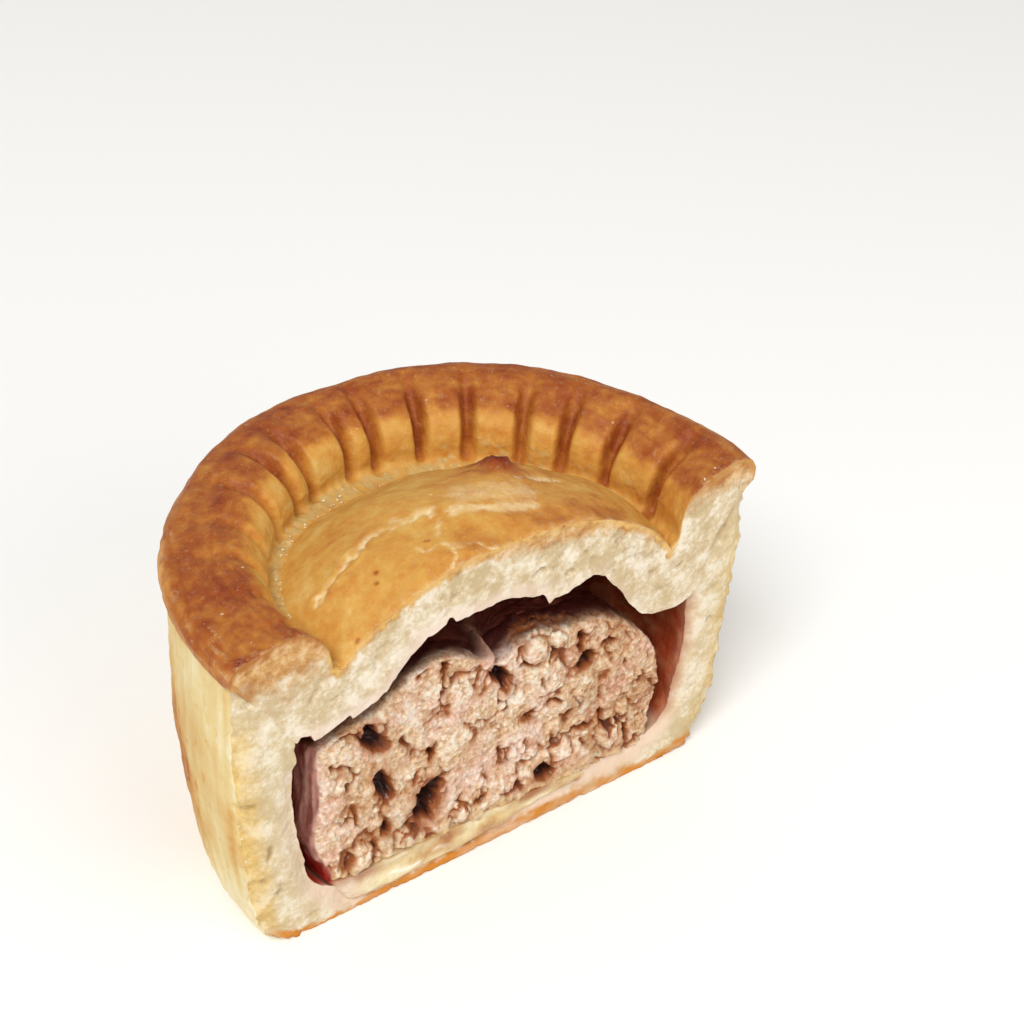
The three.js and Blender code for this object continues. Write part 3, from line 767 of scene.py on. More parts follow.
def makeCase(materials):
    places, faces, faceZones, zones, below, above = makeCaseShell()
    normals = vertexNormals(places, faces)
    x, y, z = places.T
    radius, theta = np.hypot(x, y), turnAngle(x, y)
    turned = np.degrees(theta)
    outside = zones == 0
    onWall = (outside & (radius > caseShape["wallFrom"])).astype(float)
    wrap = unrolled(places, caseShape["wrapRadius"])
    loose = warped(places, 1.6, 0.45, 46)

    # the outer wall: shallow upright ripples, dents, and a ragged foot and cut edge
    lift = 0.16 * grain(places, 6, 31) + 0.05 * grain(places, 1.2, 32)
    lift += caseShape["streak"] * grain(wrap, 0.9, 33, (1, 1, 9))
    dents = smooth(grain(places, 1.5, 34, (1, 1, 1.5)), 0.7, 0.95)
    lift -= 0.25 * dents + 0.2 * bell(z, 0.6, 1.2) * np.abs(grain(places, 1.1, 35))
    behind = y - cutY
    frayed = np.exp(-behind / 1.6) * (0.7 + 0.5 * smooth(x, 0, 10)) * (1 - 0.75 * smooth(z, 5, 12))
    lift += frayed * (0.45 * grain(places, 0.9, 47) + 0.3 * grain(places, 2.2, 48))
    places = places + normals * (lift * onWall)[:, None]

    # the hollow, where juices soaked in, and the base swollen up to the meat on the right
    inside = (zones == 1).astype(float)
    push = 0.22 * grain(places, 2.6, 36, (1, 1, 1.6)) + 0.07 * grain(places, 0.9, 37)
    hollow = inside * (z < edgeUnderside(theta) - 0.5)
    places = places + normals * (push * hollow)[:, None]
    swollen = smooth(x, 6, 14) * fall(radius, 23, 27) * (z < 5)
    onFloor = np.where(zones == 1, 1.0, np.where(zones == 2, fall(above, 0, 2), 0))
    places[:, 2] += 0.9 * swollen * onFloor * (1 + 0.4 * grain(places, 2.2, 48))

    depth = 0.9 * bell(below, 0, 1.1) * (zones != 1) * smooth(z, 0.5, 2.5)
    depth *= 0.8 + 0.4 * grain(places, 1.5, 38)
    depth += 0.8 * bell(above, 0, 1.2) * (zones != 0) * fall(z, 27, 29)
    pits = nearSpots(loose, caseShape["pits"]) * (zones == 2)
    seamDip = bell(above, 0, 1.1) * bell(z, 36.3, 3.4) * (x > 0) * (zones != 0)
    depth += pits + 0.5 * seamDip
    places = pressCut(places, below + 1, depth, caseShape["crumb"])
    rise = np.abs(0.35 * grain(places, 1.3, 39)) * (z < 1.0) * np.exp(-behind / 1.5)
    places[:, 2] = np.maximum(places[:, 2] + rise, 0)

    baked = 0.14 + 0.07 * grain(wrap, 1.5, 41, (1, 1, 8)) + 0.06 * grain(places, 7, 42)
    uneven = 0.6 * grain(wrap, 2.2, 40, (1, 1, 3.5)) + 0.25 * grain(places, 1.0, 51)
    for middle, height, wide, tall, amount in caseShape["brownPatches"]:
        patch = bell(turned, middle, wide) * bell(z, height, tall)
        baked += amount * patch * np.clip(1 + uneven, 0, 2)
    # browner at the outer foot and darker towards the bottom; the dents get painted shade
    baked += 0.45 * bell(z, 0, 0.8) * outside + 0.08 * np.exp(-z / 3.0) + 0.1 * dents
    baked -= 0.08 * np.exp(-behind / 2.5) * smooth(grain(places, 2.5, 52), -0.3, 0.5)
    # painted light: the wall is made paler low down on the left, where it is lit brightest
    baked -= 0.3 * bell(turned, 180, 24) * bell(z, 2, 8)
    fromEdge = below + 0.5 * grain(places, 1.2, 49) + 0.3 * grain(places, 0.5, 53)
    atFoot = fall(z, 1.5, 4) * smooth(35 - np.abs(x), 0, 4)
    lineWidth = 1.3 + 1.3 * smooth(x, -8, 5)
    baseLine = fall(fromEdge, 0.4 * lineWidth, lineWidth) * atFoot
    baseLine *= 0.85 + 0.4 * grain(places, 1.6, 54, (2, 1, 1))
    golden = fall(fromEdge, 0.3, 4.2) * (1 - atFoot) * smooth(40 - z, 0, 6)
    golden *= 0.55 + 0.4 * bell(z, 19, 12) * (x < 0) + 0.25 * grain(places, 2.0, 55, (1, 1, 2))
    onSide = smooth(z, 5, 9)
    damp = fall(above + 0.5 * grain(places, 1.3, 50), 0.5, 3.2) * (z < 28) * (1 - 0.65 * onSide)
    stain = 0.75 * fall(above + 0.35 * grain(places, 2.2, 56), -0.6, 1.7)
    stain *= fall(z, 27, 29) * smooth(x, 8, 20) * onSide
    inward = behind + 0.7 * grain(places, 2.4, 64)
    soaked = np.where(x > 0, 0.7 + 0.3 * smooth(inward, 0, 3), smooth(inward, 0, 1.5))
    soaked *= inside * smooth(z, 5, 7.5)
    redPocket = bell(x, -26.4, 2.4) * bell(z, 6.4, 2.6) * smooth(behind, 0.2, 1.4)
    makePiece(
        "baked_case",
        "case_pastry",
        "pastry_case",
        [materials[key] for key in ("bakedWall", "soakedDough", "cutCase")],
        places,
        faces,
        faceZones,
        baked=baked,
        band=golden,
        crustLine=baseLine,
        # brown: painted shade in the pits and the crease at the seam
        brown=0.6 * pits + 0.35 * seamDip,
        damp=damp,
        stain=stain,
        soaked=soaked,
        redPocket=redPocket,
        wrap=wrap / 1000,
    )


porkShape = {
    "voxel": 0.24,
    "front": (0.35, 1.1),  # the cut meat lies this far behind the knife's plane, low down and above
    "taper": 0.15,  # how fast the cut side narrows towards its foot
    "sag": 0.6,  # its foot reaches this far into the jelly
    "slab": 7.0,  # the finely shaped front is this thick
    "slabBlock": (52, 4, 24),  # the block it grows from
    "slabCuts": 70,
    "behind": 5.0,  # the smooth body starts this far behind the cut
    "bodyBlock": (53, 28, 23),
    "bodyCuts": 55,
    "wrapRadius": 26,
    "taperFrom": 11.0,  # height below which the meat narrows
    "rounding": 0.55,  # radius of its long edges
    "bigPieces": 3.7,  # size of the chopped pieces in mm
    "bigStep": 0.5,  # how far neighbours differ in height
    "bigGroove": 0.6,  # depth of the gaps between them
    "smallPieces": 1.5,
    "smallStep": 0.36,
    "smallGroove": 0.24,
    "grainHeight": 0.12,
    "holes": [  # x, height, half width, half height, depth and often lean of the gaps between pieces
        (-18.4, 25.9, 1.2, 2.1, 3.6, 0.45), (-16.9, 24.2, 1.2, 0.9, 1.6), (-0.1, 26.9, 0.9, 2.0, 3.6, 0.35),
        (-17.0, 17.8, 1.1, 2.5, 2.8, 0.25), (-10.7, 11.7, 1.7, 2.4, 4.0, -0.1), (-9.2, 13.6, 1.0, 0.7, 2.4),
        (-16.4, 10.0, 0.6, 0.8, 2.4), (7.5, 7.3, 1.4, 1.4, 3.6), (3.3, 7.6, 0.5, 0.8, 1.8),
        (-2.6, 7.7, 1.1, 0.5, 2.2, 0.3), (13.4, 23.6, 1.2, 1.0, 2.8), (12.4, 26.9, 0.6, 1.8, 2.4, 0.2),
        (17.0, 24.6, 1.0, 0.5, 2.8, 0.5), (23.2, 15.9, 0.7, 0.7, 2.2, 0.3), (21.3, 7.7, 0.4, 1.9, 2.4, 0.1),
        (19.6, 10.0, 1.3, 0.3, 1.6, 0.6), (13.4, 11.9, 1.9, 0.25, 2.0, 0.25), (-9.0, 28.2, 0.6, 0.6, 2.6),
        (-8.5, 32.0, 0.6, 0.5, 2.2), (-8.7, 30.2, 0.25, 1.4, 1.6), (-22.2, 20.2, 0.4, 1.0, 2.0, 0.1),
        (-10.1, 19.4, 0.5, 1.3, 2.0), (3.5, 27.0, 1.0, 0.35, 1.8, 0.2), (8.0, 26.6, 0.7, 0.8, 2.2),
        (2.8, 29.6, 0.3, 1.4, 1.6, -0.3), (17.4, 11.2, 0.4, 2.2, 2.0, 0.35), (4.7, 18.0, 0.5, 0.9, 1.6),
        (8.9, 18.6, 0.8, 0.5, 1.8, 0.3), (-14.0, 22.8, 0.35, 1.5, 1.6, 0.3),
        (-20.8, 14.2, 0.3, 1.4, 1.4, 0.2), (10.7, 14.8, 0.3, 1.6, 1.2, 0.4), (-5.4, 9.2, 0.4, 0.5, 1.6),
        (0.8, 13.8, 0.3, 1.2, 1.2, 0.3), (20.4, 19.8, 0.35, 1.0, 1.4, 0.3),
        (-22.6, 8.2, 0.8, 1.6, 1.0, 0.1), (-3.0, 21.4, 0.8, 0.25, 1.0, 0.3),
        (6.6, 22.8, 0.3, 1.1, 1.2, 0.2),
    ],
    "nuggets": [  # x, height and radius of pieces that stand proud
        (5.2, 28.7, 1.7), (8.6, 29.0, 1.3), (17.9, 8.6, 1.9), (-20.4, 7.8, 1.7), (-14.0, 7.6, 1.6),
        (10.6, 9.8, 1.6), (20.6, 12.0, 1.2), (-5.8, 7.2, 1.4), (1.0, 24.0, 1.2),
    ],
    "dull": [  # like the holes, but only in colour
        (-14.2, 9.6, 3.6, 2.4, 0.7), (13.8, 16.4, 3.6, 2.0, 0.45), (15.2, 8.2, 2.6, 2.2, 0.4),
    ],
    "wet": [(-21.4, 7.8, 3.0, 3.0, 1.0), (17.8, 9.2, 2.4, 2.0, 0.9), (6.6, 4.9, 4.0, 0.8, 1.0)],
}
membraneRoute = [(-2.3, cutY + 0.8), (-1.2, cutY + 4.5), (0.6, cutY + 10)]  # a fold along the meat's top


def fillingTopAt(x, y):
    nearCut = np.exp(-(y + pie["cutOffset"]) / 14)
    shoulder = 4.6 * bell(x, -9.5, 7)
    dip = 1.6 * bell(x, -0.8, 2.6)
    crumb = 1.6 * bell(x, 5.5, 4)
    slope = 0.096 * np.maximum(0, x - 13) ** 1.8 + 0.9 * smooth(-x, 15, 19)
    roundOff = 0.16 * np.maximum(0, np.hypot(x, y) - 20) ** 2
    return pie["fillingTop"] - slope + nearCut * (shoulder - dip + crumb) - (1 - nearCut) * roundOff


def outsideMould(places, front, back, taper, sag):
    # how far outside the rounded block of meat a point lies, in mm: negative inside
    x, y, z = places.T
    girth = pie["fillingRadius"] - taper * np.maximum(0, porkShape["taperFrom"] - z)
    side = np.hypot(x, y) - girth - 0.5 * waver(z / 9, 3)
    ahead = cutY + front - y
    past = y - cutY - back
    over = z - fillingTopAt(x, y)
    under = pie["fillingFoot"] - 0.3 - sag - pie["jellySlope"] * x - z
    rounding = porkShape["rounding"]
    total = sum(np.exp(np.clip(d, -30, 30) / rounding) for d in (side, ahead, past, over, under))
    return rounding * np.log(total)


def growBlock(size, heart, cuts, form):
    # a block's surface pushed out from its heart until it meets a form, for even faces
    bm = bmesh.new()
    bmesh.ops.create_cube(bm, size=1)
    bmesh.ops.subdivide_edges(bm, edges=bm.edges[:], cuts=cuts, use_grid_fill=True)
    heading = np.array([v.co[:] for v in bm.verts]) * size
    faces = [tuple(v.index for v in f.verts) for f in bm.faces]
    bm.free()
    heading /= np.linalg.norm(heading, axis=1, keepdims=True)
    near = np.zeros(len(heading))
    far = np.full(len(heading), farAway)
    for _ in range(halvings):
        middle = (near + far) / 2
        within = form(heart + heading * middle[:, None]) < 0
        near = np.where(within, middle, near)
        far = np.where(within, far, middle)
    return heart + heading * near[:, None], faces


def makePorkBody(materials):
    # the back of the meat, pressed smooth in its case, seen only through the air gap
    def form(places):
        return outsideMould(places, porkShape["behind"], farAway, pie["fillingTaper"], 0)

    heart = np.array([0, 6, 17.5])
    places, faces = growBlock(porkShape["bodyBlock"], heart, porkShape["bodyCuts"], form)
    normals = vertexNormals(places, faces)
    wrap = unrolled(places, porkShape["wrapRadius"])
    lift = 0.3 * grain(places, 4, 51) + 0.14 * grain(wrap, 1.2, 52, (1, 1, 5))
    fold = bell(nearRoute(places, membraneRoute), 0, 0.5) * (places[:, 2] > 25)
    places = places + normals * (lift - 0.3 + 0.8 * fold)[:, None]
    places[:, 2] = np.maximum(places[:, 2], pie["fillingFoot"])
    finish = [materials["pressedPork"]]
    data = {"wrap": wrap / 1000, "fold": fold}
    makePiece("pressed_pork", "cooked_pork", "pork_filling", finish, places, faces, **data)


def makePorkFront(materials):
    # the cut side of the meat: chopped pieces pressed together, granular, with gaps between
    def form(places):
        low, high = porkShape["front"]
        ahead = low + (high - low) * smooth(places[:, 2], 6, 11)
        return outsideMould(places, ahead, porkShape["slab"], porkShape["taper"], porkShape["sag"])

    heart = np.array([0, cutY + 4.2, 17.5])
    places, faces = growBlock(porkShape["slabBlock"], heart, porkShape["slabCuts"], form)
    mesh = bpy.data.meshes.new("slab")
    mesh.from_pydata(places.tolist(), [], faces)
    block = addObject("slab", mesh)
    fuse = block.modifiers.new("even_grid", "REMESH")
    fuse.mode = "VOXEL"
    fuse.voxel_size = porkShape["voxel"]
    even = bpy.data.meshes.new_from_object(block.evaluated_get(bpy.context.evaluated_depsgraph_get()))
    places = np.array([v.co[:] for v in even.vertices])
    faces = [tuple(p.vertices) for p in even.polygons]
    bpy.data.objects.remove(block)
    bpy.data.meshes.remove(mesh)
    bpy.data.meshes.remove(even)

    # onto the exact form, with the directions out of it
    tiny = 0.05
    for _ in range(3):
        away = form(places)
        slopes = [form(places + tiny * np.eye(3)[axis]) - away for axis in range(3)]
        normals = np.stack(slopes, axis=1) / tiny
        normals /= np.maximum(np.linalg.norm(normals, axis=1, keepdims=True), 1e-6)
        places = places - normals * away[:, None]
    x, y, z = places.T
    onTop = smooth(normals[:, 2], 0.3, 0.8)
    hidden = smooth(y - cutY, 4.5, 6.5)
    skin = smooth(-normals[:, 0], 0.55, 0.85) * (x < -20)
    margin = smooth(-x + 0.8 * grain(places, 2.5, 79), 23.8, 25.6) * smooth(z, 8, 11)  # pressed smooth too
    calm = np.maximum(np.maximum(skin, 0.8 * margin), onTop * (1 - 0.8 * bell(x, 7, 5.5)))
    rough = (1 - calm) * (1 - hidden)

    # a nearly flat knife cut across the chopped pieces, some of them torn out or left standing
    tilted = places @ np.array([[0.98, 0, -0.2], [0, 1, 0], [0.2, 0, 0.98]])  # most lie aslant
    loose = warped(tilted, 2.4, 0.9, 53) / np.array([1, 1, 1.35])
    looser = warped(tilted, 0.9, 0.35, 66) / np.array([1, 1, 1.3])
    big, bigOwn = chopped(loose, porkShape["bigPieces"], 54, 0.13)
    small, smallOwn = chopped(looser, porkShape["smallPieces"], 55, 0.22)
    gaping = smooth(grain(places, 2.6, 60), -0.15, 0.55)
    lift = porkShape["bigStep"] * (bigOwn - 0.55) * big
    lift += porkShape["smallStep"] * (smallOwn - 0.6) * small
    lift -= porkShape["bigGroove"] * (1 - big) * gaping
    lift -= porkShape["smallGroove"] * (1 - small) * (0.35 + 0.65 * gaping)
    fine = grain(places, 0.62, 56)
    lift += porkShape["grainHeight"] * (fine + 0.8 * grain(places, 0.34, 57))
    lift *= rough
    lift += 0.12 * grain(places, 1.3, 58) * calm
    streaks = grain(places, 0.7, 59, (1, 1, 9))
    lift += 0.16 * streaks * skin
    proud, rim = np.zeros(len(places)), np.zeros(len(places))
    spotted = warped(warped(places, 2.2, 0.5, 67), 0.8, 0.3, 68)
    for middle, height, size in porkShape["nuggets"]:
        away = np.hypot(spotted[:, 0] - middle, (spotted[:, 2] - height) / 1.15) / size
        proud = np.maximum(proud, np.sqrt(np.clip(1 - away**2, 0, 1)))
        rim = np.maximum(rim, bell(away, 1.12, 0.14))
    lift = np.where(proud > 0, np.maximum(lift, 0.3 * lift + 0.65 * proud - 0.1), lift)
    lift -= 0.5 * rim * rough
    fold = bell(nearRoute(places, membraneRoute), 0, 0.5) * onTop
    lift += 1.4 * fold
    gap = nearSpots(spotted, porkShape["holes"]) * (1 - hidden) * (1 - onTop)
    places = places + normals * lift[:, None]
    # painted shade: the gaps are sunk only a little, and the dark colour that sunk gives them stands for the
    # depth
    sink = 0.6 * gap * (1 + 0.35 * grain(places, 0.8, 81))  # the colour makes the gaps look deeper
    places[:, 1] = np.maximum(places[:, 1] + sink, cutY + 0.1)

    # halo, crevice and the rims of proud pieces darken the meat through sunk: painted shade, partly brown
    # juice
    halo = nearSpots(spotted, porkShape["holes"], 2.4) * rough
    crevice = 0.8 * (1 - big) * gaping + 0.6 * (1 - small) * (0.25 + 0.75 * gaping) + 0.6 * rim
    tone = 0.59 + 0.12 * grain(places, 3.5, 61) + 0.12 * grain(tilted, 1.3, 62, (1, 1, 1.6))
    tone += 0.14 * (bigOwn - 0.5) * big + 0.3 * (smallOwn - 0.5) * small + 0.12 * proud + 0.2 * fine
    tone -= 0.22 * smooth(x + 2 * grain(places, 3, 69), 8, 14) * (1 - 0.5 * proud)
    tone -= 0.12 * smooth(-x, 12, 17)
    fat = smooth(grain(spotted, 1.0, 63), 0.78, 0.92) * rough
    pink = 0.1 + 0.6 * grain(places, 4.5, 70) + 0.3 * grain(tilted, 1.1, 74) + 0.3 * bell(x, 2, 6)
    jellied = fall(z + 0.9 * grain(places, 1.8, 80), 4.6, 7.6) * (1 - 0.5 * smooth(x, 8, 14))
    makePiece(
        "chopped_pork",
        "cooked_pork",
        "pork_filling",
        [materials["choppedPork"]],
        places,
        faces,
        tone=tone,
        fat=fat,
        # sunk: part brown meat juice, part painted shade in the crevices and holes
        sunk=0.55 * crevice * rough + 0.1 * halo + gap / 3.4,
        pink=pink + 0.7 * margin,
        jellied=jellied * rough,
        skin=skin * (1 - onTop),
        bloody=skin * smooth(10.5 - z, 0, 3.5),
        shade=onTop * smooth(y - cutY + 0.5 * grain(places, 2, 67), 0.6, 4.5),
        dull=nearSpots(spotted, porkShape["dull"]) * rough * (0.5 + 0.4 * fine),
        wet=np.maximum(jellied, nearSpots(spotted, porkShape["wet"])),
        fold=fold,
        streaks=0.5 + 0.5 * streaks,
    )


jellyShape = {
    "spacing": 0.35,
    "columns": 192,
    "lowerColumns": 96,
    "across": 14,
    "swell": 0.35,  # it rises this far to the underside of the meat
}


def makeJelly(materials):
    def shore(theta):
        away = pie["jellyShift"] + 0.4
        return pie["jellyRadius"] + 1.2 - away * np.cos(theta) + 0.2 * waver(theta, 2.2)

    def topAt(radius, theta):
        return pie["jellyTop"] + jellyShape["swell"] - pie["jellySlope"] * radius * np.cos(theta)

    def underAt(radius, theta):
        return floorAt(radius, theta) + 3.2 * smooth(radius, 22.2, 25.6) ** 1.5 - 0.1

    def within(share):
        return lambda theta: share * shore(theta)

    onTop = ((0.3, 0.4), (0.6, 0.7), (0.85, 0.92))
    beneath = ((0.3, 0.4), (0.6, 0.7), (0.8, 0.86), (0.92, 0.94))
    upper = [(0, 0, topAt), *[(at, within(share), topAt) for at, share in onTop]]
    upper.append((0.96, within(0.99), lambda radius, theta: topAt(radius, theta) - 0.15))
    lower = [(0, 0, underAt), *[(at, within(share), underAt) for at, share in beneath]]
    for side in (upper, lower):
        side.append((1, shore, lambda radius, theta: topAt(radius, theta) - 0.5))
    places, faces, _, zones, below, _ = buildShell(upper, lower, jellyShape)
    x, _, z = places.T
    places[:, 2] += 0.14 * grain(places, 2.4, 71) * (zones == 0)
    flat = places * np.array([1, 0, 1])
    slack = 0.32 + 0.18 * grain(flat, 2.6, 72, (1.6, 1, 1)) + 0.1 * smooth(z, 3.2, 5.2)
    slack += 0.14 * grain(flat, 1.1, 73, (2, 1, 1))
    places = pressCut(places, below, np.maximum(slack, 0), 0)
    juice = smooth(z + 0.8 * grain(flat, 1.8, 75, (1, 1, 2.5)), 3.4, 5.4)
    juice = juice * (0.2 + 0.65 * bell(x, -22, 3.5)) + 0.8 * bell(x, 6.2, 3.2) * smooth(z, 3.4, 4.6)
    # glint: painted highlight, pale streaks along the jelly's cut face
    glint = bell(z + 0.6 * grain(flat, 3, 82), 2.8, 0.24) * bell(x, -15, 7)
    glint *= smooth(grain(flat, 0.9, 83, (2, 1, 1)), 0, 0.3)
    makePiece(
        "set_jelly",
        "pork_jelly",
        "jelly",
        [materials["setJelly"]],
        places,
        faces,
        bloody=smooth(-x, 19, 22) * (zones == 0) * smooth(places[:, 1] - cutY, 0.8, 1.6),
        doughy=smooth(-x + 1.5 * grain(flat, 2, 77), 17, 23) * 0.8,
        juice=juice,
        glint=glint,
        cloudy=0.71 * np.clip(0.55 + 0.6 * grain(flat, 2.4, 76, (1.8, 1, 1)), 0, 1),
    )


crumbShape = {
    "sizes": (0.08, 0.26),  # radii of crumbs and flakes
    "inValley": 60,
    "onRimCut": 6,
    "onFoot": 26,
    "onWall": 12,
}


def makeCrumbs(materials):
    # loose bits of pastry: in the valley, on the cut edges of the rim, and along the frayed foot
    draw = random.Random(5)
    bm = bmesh.new()
    bmesh.ops.create_icosphere(bm, subdivisions=1, radius=1)
    ball = np.array([v.co[:] for v in bm.verts])
    ballFaces = [tuple(v.index for v in f.verts) for f in bm.faces]
    bm.free()
    spots = []
    for _ in range(crumbShape["inValley"]):
        theta = math.radians(draw.triangular(20, 200, 150))
        radius = acrossValley(draw.uniform(-0.2, 1.2))(theta)
        if radius * math.sin(theta) > cutY + 0.4:
            spots.append((radius * math.cos(theta), radius * math.sin(theta), valleyAt(theta) + 0.2, 0.8))
    for _ in range(crumbShape["onRimCut"]):
        x = draw.choice((draw.uniform(-26.5, -24.8), draw.uniform(27.5, 31)))
        z = 42.5 + 1.1 * (abs(x) - 26) if x > 0 else 41 + 2.4 * (-24.8 - x)
        spots.append((x, cutY + draw.uniform(0.1, 0.9), z, 0.8))
    for _ in range(crumbShape["onFoot"]):
        z = draw.triangular(0.2, 7, 1.2)
        radius = wallRadius(z, 0) - draw.uniform(0.05, 0.35)
        y = cutY + draw.uniform(0.9, 2.2)
        spots.append((math.sqrt(radius**2 - y**2) - 0.1, y, z, 0.25))
    for _ in range(crumbShape["onWall"]):
        z = draw.uniform(6, 36)
        radius = wallRadius(z, math.pi) - 0.1
        y = cutY + draw.uniform(0.2, 1.6)
        spots.append((-math.sqrt(radius**2 - y**2), y, z, 0.5))
    places, faces, paleness = [], [], []
    for count, (x, y, z, pale) in enumerate(spots):
        size = draw.uniform(*crumbShape["sizes"])
        squash = np.array([draw.uniform(0.7, 1.5), draw.uniform(0.6, 1.2), draw.uniform(0.35, 0.9)])
        knobs = np.array([[draw.uniform(0.7, 1.25)] for _ in ball])
        turn = Matrix.Rotation(draw.uniform(0, 6), 3, Vector((draw.random(), draw.random(), 1)).normalized())
        crumb = (ball * knobs * squash * size) @ np.array(turn)
        crumb[:, 1] = np.maximum(crumb[:, 1], cutY + 0.02 - y)
        places.append(crumb + np.array([x, y, z]))
        faces.extend(tuple(i + count * len(ball) for i in f) for f in ballFaces)
        paleness.extend([pale + draw.uniform(-0.25, 0.25)] * len(ball))
    places, finish = np.concatenate(places), [materials["crumb"]]
    makePiece("pastry_crumbs", "case_pastry", None, finish, places, faces, paleness=paleness)


# finishes
def hexColour(code):
    values = [int(code[i : i + 2], 16) / 255 for i in (1, 3, 5)]
    linear = [v / 12.92 if v <= 0.04045 else ((v + 0.055) / 1.055) ** 2.4 for v in values]
    return (*linear, 1)


def perSize(millimetres):
    # noise scale for features of this size, on coordinates in metres
    return 1000 / millimetres


def addNode(tree, kind, settings=None, links=None):
    # links name a node or an attribute of the mesh, or pair one of these with one of its outputs
    node = tree.nodes.new("ShaderNode" + kind)
    for name, value in (settings or {}).items():
        if name == "stops":
            while len(node.color_ramp.elements) < len(value):
                node.color_ramp.elements.new(0.5)
            for element, (position, code) in zip(node.color_ramp.elements, value):
                element.position = position
                element.color = hexColour(code)
        elif isinstance(name, int) or name in node.inputs:
            node.inputs[name].default_value = value
        else:
            setattr(node, name, value)
    for name, source in (links or {}).items():
        source, output = source if isinstance(source, tuple) else (source, None)
        if isinstance(source, str):
            source, output = addNode(tree, "Attribute", {"attribute_name": source}), output or "Fac"
        first = next(socket for socket in source.outputs if socket.enabled)
        tree.links.new(source.outputs[output] if output else first, node.inputs[name])
    return node


def newMaterial(name, noises=()):
    # an empty material, what adds nodes to it, and its noises from rows of mm across, detail, roughness
    material = bpy.data.materials.new(name)
    material.use_nodes = True
    material.node_tree.nodes.clear()
    add = partial(addNode, material.node_tree)
    place = (add("TexCoord"), "Object")
    layers = []
    for size, detail, roughness in noises:
        settings = {"Scale": perSize(size), "Detail": detail, "Roughness": roughness}
        layers.append(add("TexNoise", settings, {"Vector": place}))
    return material, add, place, layers


def layTints(add, colour, tints):
    # colours laid over another one after the other, each as far as its share says
    for share, code in tints:
        colour = add("Mix", {"data_type": "RGBA", 7: hexColour(code)}, {0: share, 6: colour})
    return colour


def wireUp(material, add, settings, links, relief=(), soft=None):
    # relief: what stands out, and by how many mm; soft: how much light goes in, and mm for each colour
    links = dict(links)
    for source, rise in relief:
        below = {"Normal": links["Normal"]} if "Normal" in links else {}
        bump = {"Distance": abs(rise) / 1000, "invert": rise < 0}
        links["Normal"] = add("Bump", bump, {"Height": source, **below})
    if soft:
        weight, *reach = soft
        settings = {**settings, "Subsurface Weight": weight, "Subsurface Radius": [r / 1000 for r in reach]}
    add("OutputMaterial", links={"Surface": add("BsdfPrincipled", settings, links)})
    return material


def readRamp(add, start, parts, less, stops):
    # colours read at an attribute plus some weighed noises, less the noises' own average
    level = start
    for source, amount in parts:
        level = add("Math", {"operation": "MULTIPLY_ADD", 1: amount}, {0: source, 2: level})
    level = add("Math", {"operation": "SUBTRACT", 1: less}, {0: level})
    return add("ValToRGB", {"stops": stops}, {"Fac": level})


crustLook = {
    "stops": [
        (0.0, "#e9d7a6"),
        (0.16, "#dcb96f"),
        (0.32, "#d3a04c"),
        (0.45, "#ca8939"),
        (0.58, "#b26c29"),
        (0.70, "#a0541e"),
        (0.84, "#8c3d15"),
        (1.0, "#7a260e"),
    ],
    "dough": "#c9a766",
    "white": "#efd6a2",  # bare dough in splits and under flaked glaze
    "floury": "#f3dfb8",
    "noises": [(3.2, 6, 0.65), (0.55, 4, 0.7), (1.3, 3, 0.5)],  # deeper browning, speckle, dimples
    "flour": 1.5,  # mm between specks of flour
}


def eggGlazedCrust():
    # hot-water crust brushed with egg: mottled warm brown, soft gloss over a finely pitted skin
    look = crustLook
    material, add, place, noises = newMaterial("egg_glazed_hot_water_crust", look["noises"])
    blotch, speckle, dimples = noises
    colour = readRamp(add, "baked", [(blotch, 0.42), (speckle, 0.28)], 0.34, look["stops"])
    tints = []
    laid = (("pale", "dough", 0.9, 0.72, 1.15), ("white", "white", 1.1, 0.6, 1.5))
    for key, code, amount, low, high in laid:
        share = add("Math", {"operation": "MULTIPLY_ADD", 1: amount}, {0: speckle, 2: key})
        share = add("MapRange", {"From Min": low, "From Max": high}, {"Value": share})
        tints.append((share, look[code]))
    flour = add("TexVoronoi", {"Scale": perSize(look["flour"])}, {"Vector": place})
    few = add("MapRange", {"From Min": 0.86, "From Max": 0.9}, {"Value": (flour, "Color")})
    speck = add("MapRange", {"From Min": 0.16, "From Max": 0.08, "To Max": 0.5}, {"Value": flour})
    speck = add("Math", {"operation": "MULTIPLY"}, {0: speck, 1: few})
    colour = layTints(add, colour, [*tints, (speck, look["floury"])])
    gloss = {"From Min": 0.3, "From Max": 0.7, "To Min": 0.4, "To Max": 0.6}
    gloss = add("MapRange", gloss, {"Value": speckle})
    settings = {"IOR": 1.42, "Specular IOR Level": 0.3}
    links = {"Base Color": colour, "Roughness": gloss}
    relief = [(dimples, 0.16), (speckle, 0.08)]
    return wireUp(material, add, settings, links, relief, soft=(0.05, 1.2, 0.6, 0.3))


wallLook = {
    "stops": [
        (0.0, "#ebdbb2"),
        (0.12, "#e1c88c"),
        (0.26, "#d8b270"),
        (0.40, "#cc954c"),
        (0.58, "#b2702f"),
        (0.80, "#8f4c1e"),
    ],
    "streak": 1.0,  # mm between upright streaks
    "noises": [(5.0, 6, 0.65), (0.5, 4, 0.7)],  # blotches, speckle
}


